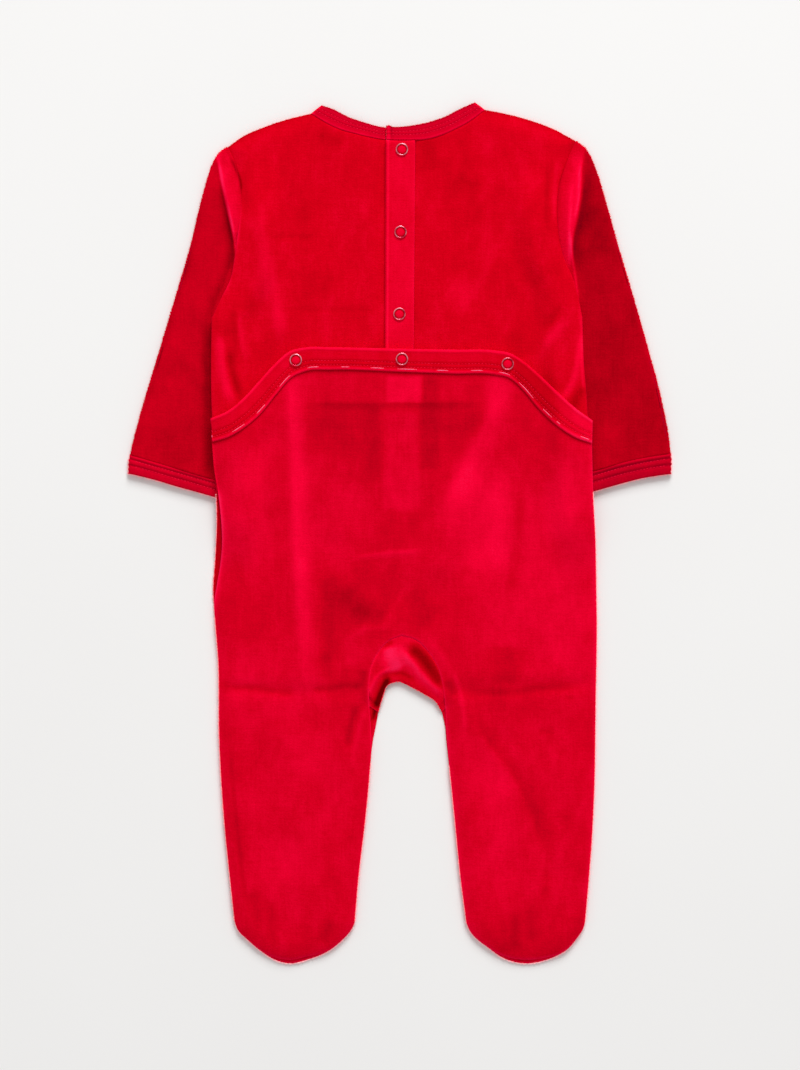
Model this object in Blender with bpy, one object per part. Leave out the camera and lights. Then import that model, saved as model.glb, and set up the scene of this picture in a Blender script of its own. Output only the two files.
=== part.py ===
"""A baby's footed sleepsuit in velour, with snaps down the back and a drop seat, laid out flat.

It lies on its front, back side up. +X points to the wearer's right, +Y to the neck and +Z up.
The origin is on the surface that it lies on, under the middle of its outline.
Sizes and tables are in millimetres; only cloth_object() turns them into metres.
Each piece is a wall of cloth over a plan: a grid of points on the table, with a height for its
upper face and one for its lower face. The sleeves and cuffs are flattened tubes, open at their ends.
"""
from collections import namedtuple

import bpy
import numpy as np

MM = 0.001

# ------------------------------------------------------------------ driving sizes
WALL = 1.5            # velour, pile included
SEAM = 0.3            # gap between two pieces at a seam, or between two layers that touch
SIDE_GAP = 0.4        # gap beside a curved seam, a little more than SEAM for the straight facets
LAYER_GAP = 0.4       # and between the faces of two layers
BINDING_RISE = 0.6    # the folded neck binding stands this much over the bodice ...
BINDING_STEP = 0.5    # ... and this much more at the end of the snap band
PLACKET_RISE = 0.9    # and the snap band, which is two layers pressed together
FACING = 1.2          # strip sewn on the top of the drop seat
GUSSET_WALL = 1.3
GUSSET_TUCK = 3.0     # the gusset reaches this far under the seat's arched edge ...
GUSSET_SLIP = (6.0, 18.0)       # ... which it slips under over this stretch from each tip
GUSSET_BULGE = 1.3

SLEEVE_HEIGHT = 3.8   # a sleeve lying flat: two walls and a little air
CUFF_HEIGHT = 3.9
CUFF_FLARE = 0.8      # a wrist hem stands out this much past its sleeve, on each side,
CUFF_SWELL = (0.2, 0.8, 1.0, 0.6)       # by these shares from its seam to its end
BODY_LIFT = 4.2       # how far the body's sides are held up by the sleeves under them
LIFT_OUTER = 18.0     # the lift is full to this far inside the body's edge ...
LIFT_INNER = 36.0     # ... and has gone here
ROLL = 14.0           # width over which a panel rolls down to its outer edge
LIFT_TOP = 278.0      # it starts at this height, is full LIFT_RISE lower ...
LIFT_RISE = 63.0
LIFT_FOOT = -30.0     # ... and has gone again here, LIFT_FALL below its last full height
LIFT_FALL = 44.0
BODICE_LOFT = 1.9     # air under the bodice, away from the edges
SEAT_LOFT = 2.4       # air under the drop seat and the legs
OVERLAP_EDGE = 1.8    # rise of the seat where it lies over the bodice, at the sides ...
OVERLAP_MIDDLE = 2.6  # ... and in the middle, where the snap band is under it

SNAP_RADIUS = 4.6     # prong ring of a snap, outside
SNAP_HOLE = 3.1       # and inside
SNAP_HEIGHT = 1.0
SNAP_SIDES = 16
SNAP_SECTION = [      # shares of the ring's half width, from its middle, and of its height
    (-1.0, 0.0), (-1.0, 0.45), (-0.45, 1.0), (0.45, 1.0), (1.0, 0.45), (1.0, 0.0),
]

Edge = namedtuple("Edge", "height x")
Point = namedtuple("Point", "x y")
Band = namedtuple("Band", "x upper lower")
Column = namedtuple("Column", "top hem")
Fold = namedtuple("Fold", "x0 y0 x1 y1 half_width rise")
Station = namedtuple("Station", "seam_y tuck rise foot_x foot_y")
Row = namedtuple("Row", "share top")
Spot = namedtuple("Spot", "name x y on")

# Outer edges of the body, by height. Each has a corner at the underarm.
ARMHOLE_LEFT = [
    Edge(278.0, -124.0), Edge(268.0, -119.6), Edge(259.0, -117.0), Edge(243.5, -114.5),
    Edge(228.0, -115.0), Edge(212.0, -117.0), Edge(197.0, -119.0), Edge(182.0, -122.1),
    Edge(168.0, -129.0), Edge(154.0, -135.4),
]
ARMHOLE_RIGHT = [
    Edge(282.5, 126.3), Edge(265.3, 119.7), Edge(249.0, 114.6), Edge(232.0, 113.2),
    Edge(212.0, 114.6), Edge(195.0, 118.8), Edge(185.0, 123.6), Edge(170.0, 128.0),
    Edge(155.0, 131.0),
]
SIDE_LEFT = [
    Edge(154.0, -135.4), Edge(112.0, -135.9), Edge(84.0, -135.2), Edge(60.0, -133.9),
    Edge(27.0, -132.2), Edge(9.0, -131.8), Edge(-19.0, -133.2), Edge(-41.0, -134.7),
    Edge(-63.0, -133.2), Edge(-91.0, -131.0), Edge(-149.0, -130.2), Edge(-207.0, -126.7),
    Edge(-250.0, -122.4), Edge(-279.5, -119.2),
]
SIDE_RIGHT = [
    Edge(155.0, 131.0), Edge(123.0, 132.1), Edge(102.0, 133.8), Edge(80.0, 135.2),
    Edge(60.0, 137.2), Edge(27.0, 138.6), Edge(-6.0, 140.6), Edge(-62.0, 141.8),
    Edge(-120.0, 141.0), Edge(-192.0, 139.7), Edge(-221.0, 138.2), Edge(-250.0, 136.0),
    Edge(-279.5, 133.4),
]
# The drop seat's sides. On the left the side seam has rolled over, and a strip of the front shows.
SEAT_SIDE_LEFT = [
    Edge(82.0, -136.0), Edge(67.0, -134.1), Edge(45.0, -132.6), Edge(30.0, -130.3),
    Edge(10.0, -128.3), Edge(-6.0, -127.9), Edge(-24.0, -129.6), Edge(-38.0, -132.0),
    Edge(-50.0, -133.8), Edge(-63.0, -133.2),
]
SEAT_SIDE_RIGHT = [
    Edge(80.6, 138.2), Edge(66.0, 137.9), Edge(48.0, 138.2), Edge(27.0, 138.8),
    Edge(-6.0, 140.6), Edge(-62.0, 141.8),
]
INNER_LEFT = [
    Edge(-129.0, -15.8), Edge(-137.5, -17.3), Edge(-149.0, -19.6), Edge(-178.0, -22.4),
    Edge(-207.0, -25.2), Edge(-250.0, -30.2), Edge(-280.5, -32.8),
]
INNER_RIGHT = [
    Edge(-129.0, 30.4), Edge(-137.5, 32.4), Edge(-150.0, 33.6), Edge(-178.0, 36.7),
    Edge(-207.0, 39.6), Edge(-250.0, 43.9), Edge(-281.0, 48.0),
]
SEAT_INNER_LEFT = [Edge(-124.6, -22.3), Edge(-137.0, -21.4), Edge(-150.0, -20.8)] + INNER_LEFT[3:]
SEAT_INNER_RIGHT = [Edge(-126.0, 32.8), Edge(-138.0, 33.4), Edge(-151.0, 34.2)] + INNER_RIGHT[3:]

# Shoulders and neck, from the armhole to the neck point and on to the middle.
SHOULDER_LEFT = [
    Point(-124.0, 278.0), Point(-113.0, 285.8), Point(-100.0, 291.6), Point(-83.5, 297.3),
    Point(-64.0, 302.2),
]
SHOULDER_RIGHT = [
    Point(61.0, 304.9), Point(71.3, 303.0), Point(93.6, 297.3), Point(109.4, 291.5),
    Point(126.3, 282.5),
]
NECK_SEAM = [
    Point(-64.0, 302.2), Point(-53.7, 295.6), Point(-42.7, 290.5), Point(-31.7, 287.5),
    Point(-20.7, 284.9), Point(-10.0, 283.4), Point(7.6, 282.9), Point(18.7, 283.5),
    Point(29.7, 286.4), Point(40.7, 291.3), Point(51.7, 297.5), Point(61.0, 304.9),
]
NECK_TOP = [
    Point(-56.5, 308.2), Point(-48.2, 305.3), Point(-37.2, 299.7), Point(-26.1, 295.9),
    Point(-15.1, 293.0), Point(2.2, 292.8), Point(10.9, 293.9), Point(22.0, 296.4),
    Point(33.0, 300.2), Point(42.9, 305.3), Point(54.0, 310.3),
]
FRONT_NECK = [
    Point(-64.0, 302.2), Point(-62.0, 286.0), Point(-54.5, 266.0), Point(-38.0, 251.5),
    Point(-18.0, 245.5), Point(0.0, 244.0), Point(18.0, 245.5), Point(37.0, 251.5),
    Point(53.0, 266.0), Point(59.6, 287.0), Point(61.0, 304.9),
]
NECK_BAND = 10.0
BODICE_HEM = [
    Point(-133.8, 56.0), Point(-116.0, 70.0), Point(-96.0, 86.0), Point(-76.0, 91.5),
    Point(0.0, 92.0), Point(76.0, 92.5), Point(97.0, 87.0), Point(118.0, 71.0),
    Point(137.0, 58.0),
]
# Columns of the two bodice halves: x on the shoulder and neck line, and on the hem.
COLUMNS_LEFT = [
    Column(-124.0, -133.8), Column(-121.0, -131.0), Column(-116.0, -125.5), Column(-108.0, -117.5),
    Column(-99.0, -108.5), Column(-88.0, -98.0), Column(-76.0, -84.0), Column(-64.0, -70.0),
    Column(-53.0, -57.0), Column(-42.0, -44.0), Column(-31.0, -32.0), Column(-20.0, -20.0),
    Column(-16.0, -16.0), Column(-12.0, -12.0), Column(-2.0, -2.0), Column(8.4, 7.4),
]
COLUMNS_RIGHT = [
    Column(11.2, 9.8), Column(21.0, 21.0), Column(31.0, 32.0), Column(41.0, 44.0),
    Column(51.0, 57.0), Column(61.0, 70.0), Column(74.0, 84.0), Column(87.0, 98.0),
    Column(99.0, 109.0), Column(109.0, 119.5), Column(117.5, 127.5), Column(123.0, 133.5),
    Column(126.3, 136.6),
]
UNDERLAP_START = -20.0          # the left half dips here, to pass under the snap band
UNDERLAP_FOOT = -12.0
PLACKET_LEFT = (-10.1, -10.8)   # x at the neck and at the hem
PLACKET_RIGHT = (10.8, 9.4)
BINDING_ENDS_LEFT = (-10.3, -10.6)      # x of the binding's ends at the opening: upper edge and seam
BINDING_ENDS_RIGHT = (-7.0, -9.9)

# Top strip of the drop seat, by x: its upper edge is the edge of the seat.
SEAT_BAND = [
    Band(-136.0, 82.0, 66.8), Band(-122.0, 88.3, 71.2), Band(-112.0, 96.8, 77.5),
    Band(-101.0, 109.3, 87.4), Band(-90.0, 121.3, 101.0), Band(-80.0, 130.0, 112.3),
    Band(-68.0, 133.2, 118.0), Band(-50.0, 133.2, 119.0), Band(0.0, 132.2, 117.6),
    Band(40.0, 131.5, 116.2), Band(68.0, 131.0, 115.6), Band(80.0, 128.6, 112.6),
    Band(90.0, 122.2, 103.6), Band(100.0, 113.5, 91.6), Band(112.0, 101.8, 79.8),
    Band(126.0, 89.2, 70.3), Band(138.2, 80.6, 66.0),
]
CROTCH_X = 1.4        # the seat's crotch arch is highest here
BACK_CROTCH = [
    Point(-22.3, -124.6), Point(-22.7, -113.0), Point(-20.9, -98.0), Point(-15.1, -85.0),
    Point(-7.2, -77.0), Point(1.4, -73.6), Point(10.8, -76.3), Point(19.4, -84.0),
    Point(26.6, -95.0), Point(31.0, -109.4), Point(32.8, -126.0),
]
FRONT_CROTCH_X = -1.0
FRONT_CROTCH = [
    Point(-15.8, -129.0), Point(-12.8, -118.5), Point(-9.0, -109.5), Point(-1.0, -106.9),
    Point(8.5, -111.0), Point(16.6, -115.4), Point(26.0, -121.5), Point(30.4, -129.0),
]
TOE_LEFT = [
    Point(-119.2, -279.5), Point(-116.8, -286.0), Point(-110.2, -292.8), Point(-100.0, -301.6),
    Point(-88.0, -308.6), Point(-79.0, -310.3), Point(-67.0, -307.6), Point(-51.8, -301.4),
    Point(-41.0, -292.6), Point(-34.6, -284.8), Point(-32.8, -280.5),
]
TOE_RIGHT = [
    Point(48.0, -281.0), Point(50.6, -286.8), Point(63.4, -298.6), Point(74.9, -306.6),
    Point(90.0, -310.3), Point(106.0, -307.6), Point(118.8, -301.4), Point(127.5, -292.0),
    Point(132.2, -284.4), Point(133.4, -279.5),
]
TOE_INSET = 2.7       # the sole stops this short of the toe's edge, at its middle ...
TOE_INSET_SHARE = 0.31      # ... over this share of the foot's width to each side
HIP_HEIGHT = -40.0    # where the legs' grids start, at the sides

# Sleeves. The top edge of a sleeve folds over beside the armhole: from the seam it rises by
# `rise`, and at its foot it has dropped to the sleeve. Towards the underarm it is tucked under the
# body, `tuck` inside its edge.
STATIONS_LEFT = [
    Station(278.0, -SIDE_GAP, 0.0, -134.4, 268.2), Station(267.7, -SIDE_GAP, 0.2, -132.6, 262.0),
    Station(257.3, -SIDE_GAP, 0.9, -131.0, 254.0), Station(247.0, -SIDE_GAP, 1.7, -129.0, 245.5),
    Station(236.7, -SIDE_GAP, 2.6, -126.6, 236.0), Station(226.3, -SIDE_GAP, 2.9, -124.2, 226.0),
    Station(216.0, -SIDE_GAP, 2.0, -121.9, 215.5), Station(208.5, -SIDE_GAP, 0.0, -121.0, 207.0),
    Station(200.0, 3.5, 0.0, -120.0, 197.0), Station(189.0, 7.5, 0.0, -119.5, 185.5),
    Station(174.0, 10.5, 0.0, -121.5, 169.5), Station(157.5, 11.5, 0.0, -122.2, 152.5),
]
STATIONS_RIGHT = [
    Station(282.5, -SIDE_GAP, 0.0, 138.6, 269.3), Station(271.9, -SIDE_GAP, 0.2, 137.6, 263.0),
    Station(261.3, -SIDE_GAP, 0.9, 137.2, 255.0), Station(250.6, -SIDE_GAP, 1.7, 136.6, 246.5),
    Station(240.0, -SIDE_GAP, 2.6, 134.9, 237.5), Station(229.4, -SIDE_GAP, 3.0, 132.4, 227.5),
    Station(218.8, -SIDE_GAP, 3.0, 129.6, 217.5), Station(208.1, -SIDE_GAP, 2.5, 127.2, 207.0),
    Station(197.5, -SIDE_GAP, 1.2, 126.2, 196.5), Station(190.5, -SIDE_GAP, 0.0, 126.6, 188.5),
    Station(182.0, 5.0, 0.0, 126.0, 178.5), Station(170.5, 11.0, 0.0, 122.5, 166.0),
    Station(157.5, 12.5, 0.0, 119.5, 152.5),
]
SLEEVE_ROWS = [Row(0.0, 0.85), Row(0.4, 1.2), Row(0.8, 1.0), Row(1.0, 0.0)]
SLEEVE_OUTER_LEFT = [
    Point(-124.7, 278.6), Point(-130.3, 274.6), Point(-134.4, 268.2), Point(-139.0, 255.5),
    Point(-143.3, 239.8), Point(-151.2, 207.0), Point(-160.6, 175.0), Point(-173.5, 131.8),
    Point(-184.3, 96.0), Point(-192.2, 67.0), Point(-194.8, 55.6),
]
SLEEVE_OUTER_RIGHT = [
    Point(127.1, 283.0), Point(134.0, 277.2), Point(138.6, 269.3), Point(143.0, 257.5),
    Point(148.3, 239.8), Point(157.5, 207.0), Point(167.0, 175.0), Point(179.3, 131.8),
    Point(188.0, 99.0), Point(194.0, 68.0), Point(195.3, 56.6),
]
OUTER_FOOT = 2        # the point of those lines where the fold's foot meets the edge
SLEEVE_INNER_LEFT = [Point(-122.2, 152.5), Point(-121.5, 100.0), Point(-119.5, 33.9)]
SLEEVE_INNER_RIGHT = [Point(119.5, 152.5), Point(121.5, 100.0), Point(124.5, 40.0)]
CUFF_SEAM_LEFT = [
    Point(-194.8, 55.6), Point(-177.0, 50.2), Point(-157.0, 44.6), Point(-133.0, 37.6),
    Point(-119.5, 33.9),
]
CUFF_SEAM_RIGHT = [
    Point(124.5, 40.0), Point(141.1, 44.6), Point(157.0, 49.2), Point(176.0, 53.4),
    Point(195.3, 56.6),
]
CUFF_END_LEFT = [
    Point(-195.2, 42.8), Point(-177.3, 38.4), Point(-161.3, 33.6), Point(-146.0, 29.4),
    Point(-119.9, 21.8),
]
CUFF_END_RIGHT = [
    Point(124.9, 25.6), Point(139.2, 29.8), Point(150.3, 33.0), Point(175.5, 39.6),
    Point(194.6, 42.6),
]

# Largest folds: soft ridges and troughs along a line.
SEAT_FOLDS = [
    Fold(-79.0, 110.0, -72.0, -108.0, 10.0, 0.8), Fold(-46.0, -10.0, -45.0, -104.0, 9.0, -0.6),
    Fold(72.0, 92.0, 30.0, -22.0, 10.0, 0.9), Fold(112.0, 40.0, 96.0, -90.0, 11.0, -0.5),
    Fold(-20.0, -45.0, 24.0, -46.0, 12.0, -0.7), Fold(-124.0, -112.0, -30.0, -115.0, 6.0, -0.8),
    Fold(42.0, -113.0, 134.0, -109.0, 6.0, -0.8), Fold(44.0, -124.0, 74.0, -166.0, 8.0, 0.5),
    Fold(74.0, -150.0, 108.0, -245.0, 9.0, -0.6), Fold(-33.0, -130.0, -29.0, -168.0, 7.0, -0.5),
    Fold(-75.0, -150.0, -78.0, -250.0, 16.0, 0.6), Fold(92.0, -300.0, 92.0, -282.0, 14.0, -0.5),
]
BODICE_FOLDS = [
    Fold(-99.0, 238.0, -84.0, 146.0, 9.0, 0.5), Fold(-124.0, 140.0, -113.0, 108.0, 7.0, -0.5),
    Fold(102.0, 176.0, 117.0, 132.0, 8.0, -0.5), Fold(-58.0, 250.0, -40.0, 190.0, 13.0, -0.4),
    Fold(60.0, 262.0, 40.0, 200.0, 13.0, -0.4),
]
CALM_PLACKET = (14.0, 28.0)     # the bodice's folds grow from none to full over this far from the middle
CALM_HEM = (96.0, 126.0)        # and over these heights above its hem
ARCH = Fold(4.0, -84.0, 4.0, -84.0, 34.0, 0.7)      # the seat stands up a little over the crotch
# The seat comes down from the bodice in a small step at its hem and a long slope below.
HEM_STEP = 0.2        # share of the rise
STEP_HEIGHTS = (70.0, 86.0)
SLOPE_HEIGHTS = (-30.0, 80.0)

# Snaps: centre, and the piece that each is set in.
SNAPS = [
    Spot("snap_neck", 1.4, 276.2, "placket"), Spot("snap_back_upper", 0.4, 216.7, "placket"),
    Spot("snap_back_lower", -0.4, 157.7, "placket"), Spot("snap_seat_left", -74.9, 124.3, "seat"),
    Spot("snap_seat_middle", 1.4, 125.0, "seat"), Spot("snap_seat_right", 77.4, 121.6, "seat"),
]

# Grid counts and shares.
ARM_STEPS = 12        # rows of the body's panels from shoulder to underarm
HEM_STEPS = 9         # and of the bodice from there to its hem
FRONT_LEG_STEPS = 12
BACK_LEG_STEPS = 18
FRONT_HEIGHTS = (132.0, 108.0, 84.0, 60.0, 38.0, 20.0, 10.0, 0.0, -10.0, -20.0, -30.0, HIP_HEIGHT)
HALF_SHARES = (0, 0.02, 0.055, 0.118, 0.185, 0.26, 0.345, 0.43, 0.52, 0.61, 0.70, 0.79, 0.87, 0.945, 1)
FRONT_SHARES = (0, 0.03, 0.125, 0.25, 0.42, 0.60, 0.78, 0.92, 1)
FRONT_SHOULDER = (0, 0.07, 0.28, 1)
NECK_STEPS = 2 * (len(FRONT_SHARES) - len(FRONT_SHOULDER))
STRIP_SHARES = (0.0, 0.12, 0.88, 1.0)
STRIP_EDGES = (1, 0, 0, 1)      # a strip's edges are turned down a little
EDGE_TURN = 0.3
GUSSET_PROFILE = [    # from under the seat's edge to the front's crotch edge: share of the bulge
    Row(0.0, 0.0), Row(0.16, -0.1), Row(0.34, 0.75), Row(0.52, 1.0), Row(0.68, 0.55), Row(0.84, 0.1),
    Row(1.0, 0.0),
]


# ------------------------------------------------------------------ curves and surfaces
def smooth(at, values, where):
    """Cubic Hermite curve through values at the places `at`, read at `where`."""
    at, values = np.asarray(at, float), np.asarray(values, float)
    where = np.asarray(where, float)
    slope = np.gradient(values, at, axis=0)
    i = np.clip(np.searchsorted(at, where, side="right") - 1, 0, len(at) - 2)
    step = at[i + 1] - at[i]
    t = np.clip((where - at[i]) / step, 0.0, 1.0)
    if values.ndim > 1:
        t, step = t[..., None], step[..., None]
    return (
        (2 * t**3 - 3 * t**2 + 1) * values[i]
        + (t**3 - 2 * t**2 + t) * step * slope[i]
        + (3 * t**2 - 2 * t**3) * values[i + 1]
        + (t**3 - t**2) * step * slope[i + 1]
    )


def lengths(points):
    """The knots of a line of points and the length of the line up to each."""
    knots = np.array([(p.x, p.y) for p in points], float)
    return knots, np.concatenate([[0], np.cumsum(np.linalg.norm(np.diff(knots, axis=0), axis=1))])


def along(points, shares):
    """Points at these shares of the length of a smooth line through the table's points."""
    knots, length = lengths(points)
    return smooth(length, knots, np.asarray(shares, float) * length[-1])


def at_x(points, x):
    """Points at these x of a smooth line whose table runs along x."""
    x = np.asarray(x, float)
    return np.stack([x, smooth([p.x for p in points], [p.y for p in points], x)], axis=-1)


def edge_x(rows, heights):
    """The x of an edge at these heights."""
    rows = sorted(rows)
    return smooth([r.height for r in rows], [r.x for r in rows], heights)


def edge_points(rows, heights):
    return np.stack([edge_x(rows, heights), heights], axis=-1)


def even(count):
    return np.linspace(0.0, 1.0, count + 1)


def join(*lines):
    """One line of points from several that follow on from each other."""
    return np.concatenate([lines[0]] + [line[1:] for line in lines[1:]])


def between(start, end, shares):
    """Points at these shares of the way from start to end."""
    return np.asarray(start) + np.asarray(shares)[:, None] * (np.asarray(end) - np.asarray(start))


def patch(top, bottom, left, right, across=None, down=None, hold=1):
    """Coons patch: a grid of points, row by row, that fills four edges.

    top and bottom have a point for each column, left and right one for each row. across and down
    are the columns' and rows' shares of the way, by default even. The higher hold is, the nearer
    to the left and right edges their own curves are felt.
    """
    u = (even(len(top) - 1) if across is None else np.asarray(across))[None, :, None]
    v = (even(len(left) - 1) if down is None else np.asarray(down))[:, None, None]
    ruled = (1 - v) * top[None] + v * bottom[None]
    from_left, from_right = left[:, None] - ruled[:, :1], right[:, None] - ruled[:, -1:]
    return ruled + (1 - u) ** hold * from_left + u**hold * from_right


def ramp(t):
    """0 below 0, 1 above 1, and a smooth step between."""
    t = np.clip(t, 0.0, 1.0)
    return t * t * (3 - 2 * t)


def grow(values, limits):
    """0 below the lower limit, 1 above the upper one, and a smooth step between."""
    return ramp((values - limits[0]) / (limits[1] - limits[0]))


def distance_to(lines, x, y):
    """How far each point is from the nearest of these lines of points."""
    p = np.stack([x, y], axis=-1)[..., None, :]
    best = np.full(np.shape(x), np.inf)
    for line in lines:
        a, d = line[:-1], np.diff(line, axis=0)
        t = np.clip(((p - a) * d).sum(-1) / (d * d).sum(-1), 0, 1)
        best = np.minimum(best, np.linalg.norm(p - a - t[..., None] * d, axis=-1).min(-1))
    return best


def relief(folds, x, y):
    """Sum of soft ridges and troughs: each is a bell across its line that fades past its ends."""
    total = np.zeros(np.shape(x))
    for f in folds:
        dx, dy = f.x1 - f.x0, f.y1 - f.y0
        length = np.hypot(dx, dy)
        s = ((x - f.x0) * dx + (y - f.y0) * dy) / length
        off = ((x - f.x0) * dy - (y - f.y0) * dx) / length
        past = np.maximum(np.maximum(-s, s - length), 0)
        total = total + f.rise * np.exp(-(off**2 + past**2) / f.half_width**2)
    return total


# ------------------------------------------------------------------ outlines
def body_edge(side, heights):
    """Outer edge of the body, armhole and side, at any height."""
    armhole, flank = (ARMHOLE_LEFT, SIDE_LEFT) if side < 0 else (ARMHOLE_RIGHT, SIDE_RIGHT)
    heights = np.asarray(heights, float)
    return np.where(heights > flank[0].height, edge_x(armhole, heights), edge_x(flank, heights))


def sole_toe(points):
    """The toe line of the back of a foot: the toe's edge, pulled in at its middle."""
    middle = 0.5 * (points[0].x + points[-1].x)
    half = TOE_INSET_SHARE * (points[-1].x - points[0].x)
    return [Point(p.x, p.y + TOE_INSET * max(0.0, 1 - ((p.x - middle) / half) ** 2)) for p in points]


def seat_edge(own, flank, heights):
    """Side edge of the seat panel: its own near the hips, and the body's below."""
    heights = np.asarray(heights, float)
    x = np.where(heights > own[-1].height, edge_x(own, heights), edge_x(flank, heights))
    return np.stack([x, heights], axis=-1)


def seat_edge_left(heights):
    return seat_edge(SEAT_SIDE_LEFT, SIDE_LEFT, heights)


def seat_edge_right(heights):
    return seat_edge(SEAT_SIDE_RIGHT, SIDE_RIGHT, heights)


def offset_line(line, distance):
    """A line moved to its left by a distance."""
    way = np.gradient(line, axis=0)
    way /= np.linalg.norm(way, axis=1, keepdims=True)
    return line + distance * np.stack([-way[:, 1], way[:, 0]], axis=-1)


BODICE_EDGES = [
    along(SHOULDER_LEFT, even(40)), along(SHOULDER_RIGHT, even(40)), along(NECK_TOP, even(60)),
    edge_points(ARMHOLE_LEFT, np.linspace(ARMHOLE_LEFT[-1].height, ARMHOLE_LEFT[0].height, 50)),
    edge_points(ARMHOLE_RIGHT, np.linspace(ARMHOLE_RIGHT[-1].height, ARMHOLE_RIGHT[0].height, 50)),
    edge_points(SIDE_LEFT, np.linspace(50.0, SIDE_LEFT[0].height, 30)),
    edge_points(SIDE_RIGHT, np.linspace(50.0, SIDE_RIGHT[0].height, 30)),
]
SEAT_EDGES = [
    seat_edge_left(np.linspace(-279.5, 82.0, 120)), seat_edge_right(np.linspace(-279.5, 80.6, 120)),
    edge_points(SEAT_INNER_LEFT, np.linspace(-280.5, -124.6, 50)),
    edge_points(SEAT_INNER_RIGHT, np.linspace(-281.0, -126.0, 50)),
    along(sole_toe(TOE_LEFT), even(50)), along(sole_toe(TOE_RIGHT), even(50)),
]


# ------------------------------------------------------------------ heights
def lift(x, y):
    """How far the body is held up by a sleeve: full near its sides, from armhole to cuff."""
    inside = np.minimum(x - body_edge(-1, y), body_edge(1, y) - x)
    across = ramp((LIFT_INNER - inside) / (LIFT_INNER - LIFT_OUTER))
    return BODY_LIFT * across * ramp((LIFT_TOP - y) / LIFT_RISE) * ramp((y - LIFT_FOOT) / LIFT_FALL)


def roll(edges, x, y):
    """0 at an outer edge, 1 from ROLL inwards, round between."""
    return 1 - (1 - np.clip(distance_to(edges, x, y) / ROLL, 0, 1)) ** 2


def bodice_level(x, y):
    """Upper face of the bodice without its folds."""
    return lift(x, y) + 2 * WALL + LAYER_GAP + BODICE_LOFT * roll(BODICE_EDGES, x, y)


def bodice_top(x, y):
    """Upper face of the bodice: its folds fade beside the snap band and under the seat."""
    folds = relief(BODICE_FOLDS, x, y) * roll(BODICE_EDGES, x, y) ** 2
    return bodice_level(x, y) + folds * grow(np.abs(x), CALM_PLACKET) * grow(y, CALM_HEM)


def underlap_dip(x):
    """The left half goes down under the snap band."""
    return (WALL + SEAM) * grow(x, (UNDERLAP_START, UNDERLAP_FOOT))


def overlap(x, y):
    """1 where the seat lies over the bodice, falling to 0 below the bodice's hem."""
    level = y - at_x(BODICE_HEM, x)[..., 1] + at_x(BODICE_HEM, 0.0)[1]
    return HEM_STEP * grow(level, STEP_HEIGHTS) + (1 - HEM_STEP) * grow(level, SLOPE_HEIGHTS)


def seat_top(x, y):
    """Upper face of the drop seat and the backs of the legs."""
    inside = roll(SEAT_EDGES, x, y)
    over = overlap(x, y)
    rise = over * (OVERLAP_EDGE + (OVERLAP_MIDDLE - OVERLAP_EDGE) * inside)
    arch = ARCH.rise * np.exp(-((x - ARCH.x0) ** 2 + (y - ARCH.y0) ** 2) / ARCH.half_width**2)
    folds = relief(SEAT_FOLDS, x, y) * inside * ramp(1 - over)
    return lift(x, y) + 2 * WALL + LAYER_GAP + (SEAT_LOFT + arch) * inside + rise + folds


# ------------------------------------------------------------------ solids
class Plan:
    """A sheet's plan: points on the table and the faces between them, from one or more grids.

    A grid's rows run down the garment and its columns towards +X.
    """

    def __init__(self, *grids):
        points, faces, used = [], [], 0
        for grid in grids:
            rows, columns = grid.shape[:2]
            number = np.arange(rows * columns).reshape(rows, columns) + used
            corners = number[1:, :-1], number[1:, 1:], number[:-1, 1:], number[:-1, :-1]
            faces.append(np.stack(corners, -1).reshape(-1, 4))
            points.append(grid.reshape(-1, grid.shape[-1]))
            used += rows * columns
        points, faces = np.concatenate(points), np.concatenate(faces)
        _, first, same = np.unique(
            np.round(points[:, :2], 3), axis=0, return_index=True, return_inverse=True
        )
        self.points, self.faces = points[first, :2], same.reshape(-1)[faces]
        self.x, self.y = self.points.T
        self.given = points[first, 2:]

    def rim(self):
        """The edges that only one face has, in that face's order."""
        edges = np.concatenate([self.faces[:, [k, (k + 1) % 4]] for k in range(4)])
        _, index, count = np.unique(
            np.sort(edges, axis=1), axis=0, return_inverse=True, return_counts=True
        )
        return edges[count[index.reshape(-1)] == 1]

    def wall(self, top, bottom):
        """Points and faces of the closed wall between two heights."""
        size = len(self.points)
        points = np.concatenate(
            [np.column_stack([self.points, top]), np.column_stack([self.points, bottom])]
        )
        edge = self.rim()
        sides = np.column_stack([edge[:, 1], edge[:, 0], edge[:, 0] + size, edge[:, 1] + size])
        return points, np.concatenate([self.faces, self.faces[:, ::-1] + size, sides])


def cloth_object(name, points, faces, material):
    """One closed mesh, in metres, made an object with its own material."""
    mesh = bpy.data.meshes.new(name)
    mesh.from_pydata((np.asarray(points) * MM).tolist(), [], np.asarray(faces).tolist())
    mesh.materials.append(material)
    mesh.shade_smooth()
    mesh.set_sharp_from_angle(angle=0.7)
    made = bpy.data.objects.new(name, mesh)
    bpy.context.scene.collection.objects.link(made)
    return made


def finish(name, colour, roughness, metallic=0.0):
    """A Principled BSDF of one colour."""
    material = bpy.data.materials.new(name)
    material.use_nodes = True
    shader = material.node_tree.nodes["Principled BSDF"]
    shader.inputs["Base Color"].default_value = (*colour, 1.0)
    shader.inputs["Roughness"].default_value = roughness
    shader.inputs["Metallic"].default_value = metallic
    return material


def velour(name):
    return finish(name + "_velour", (0.72, 0.004, 0.03), 0.85)


def sheet(name, plan, top, bottom):
    """A sheet between two heights over its plan."""
    return cloth_object(name, *plan.wall(top, bottom), velour(name))


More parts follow.
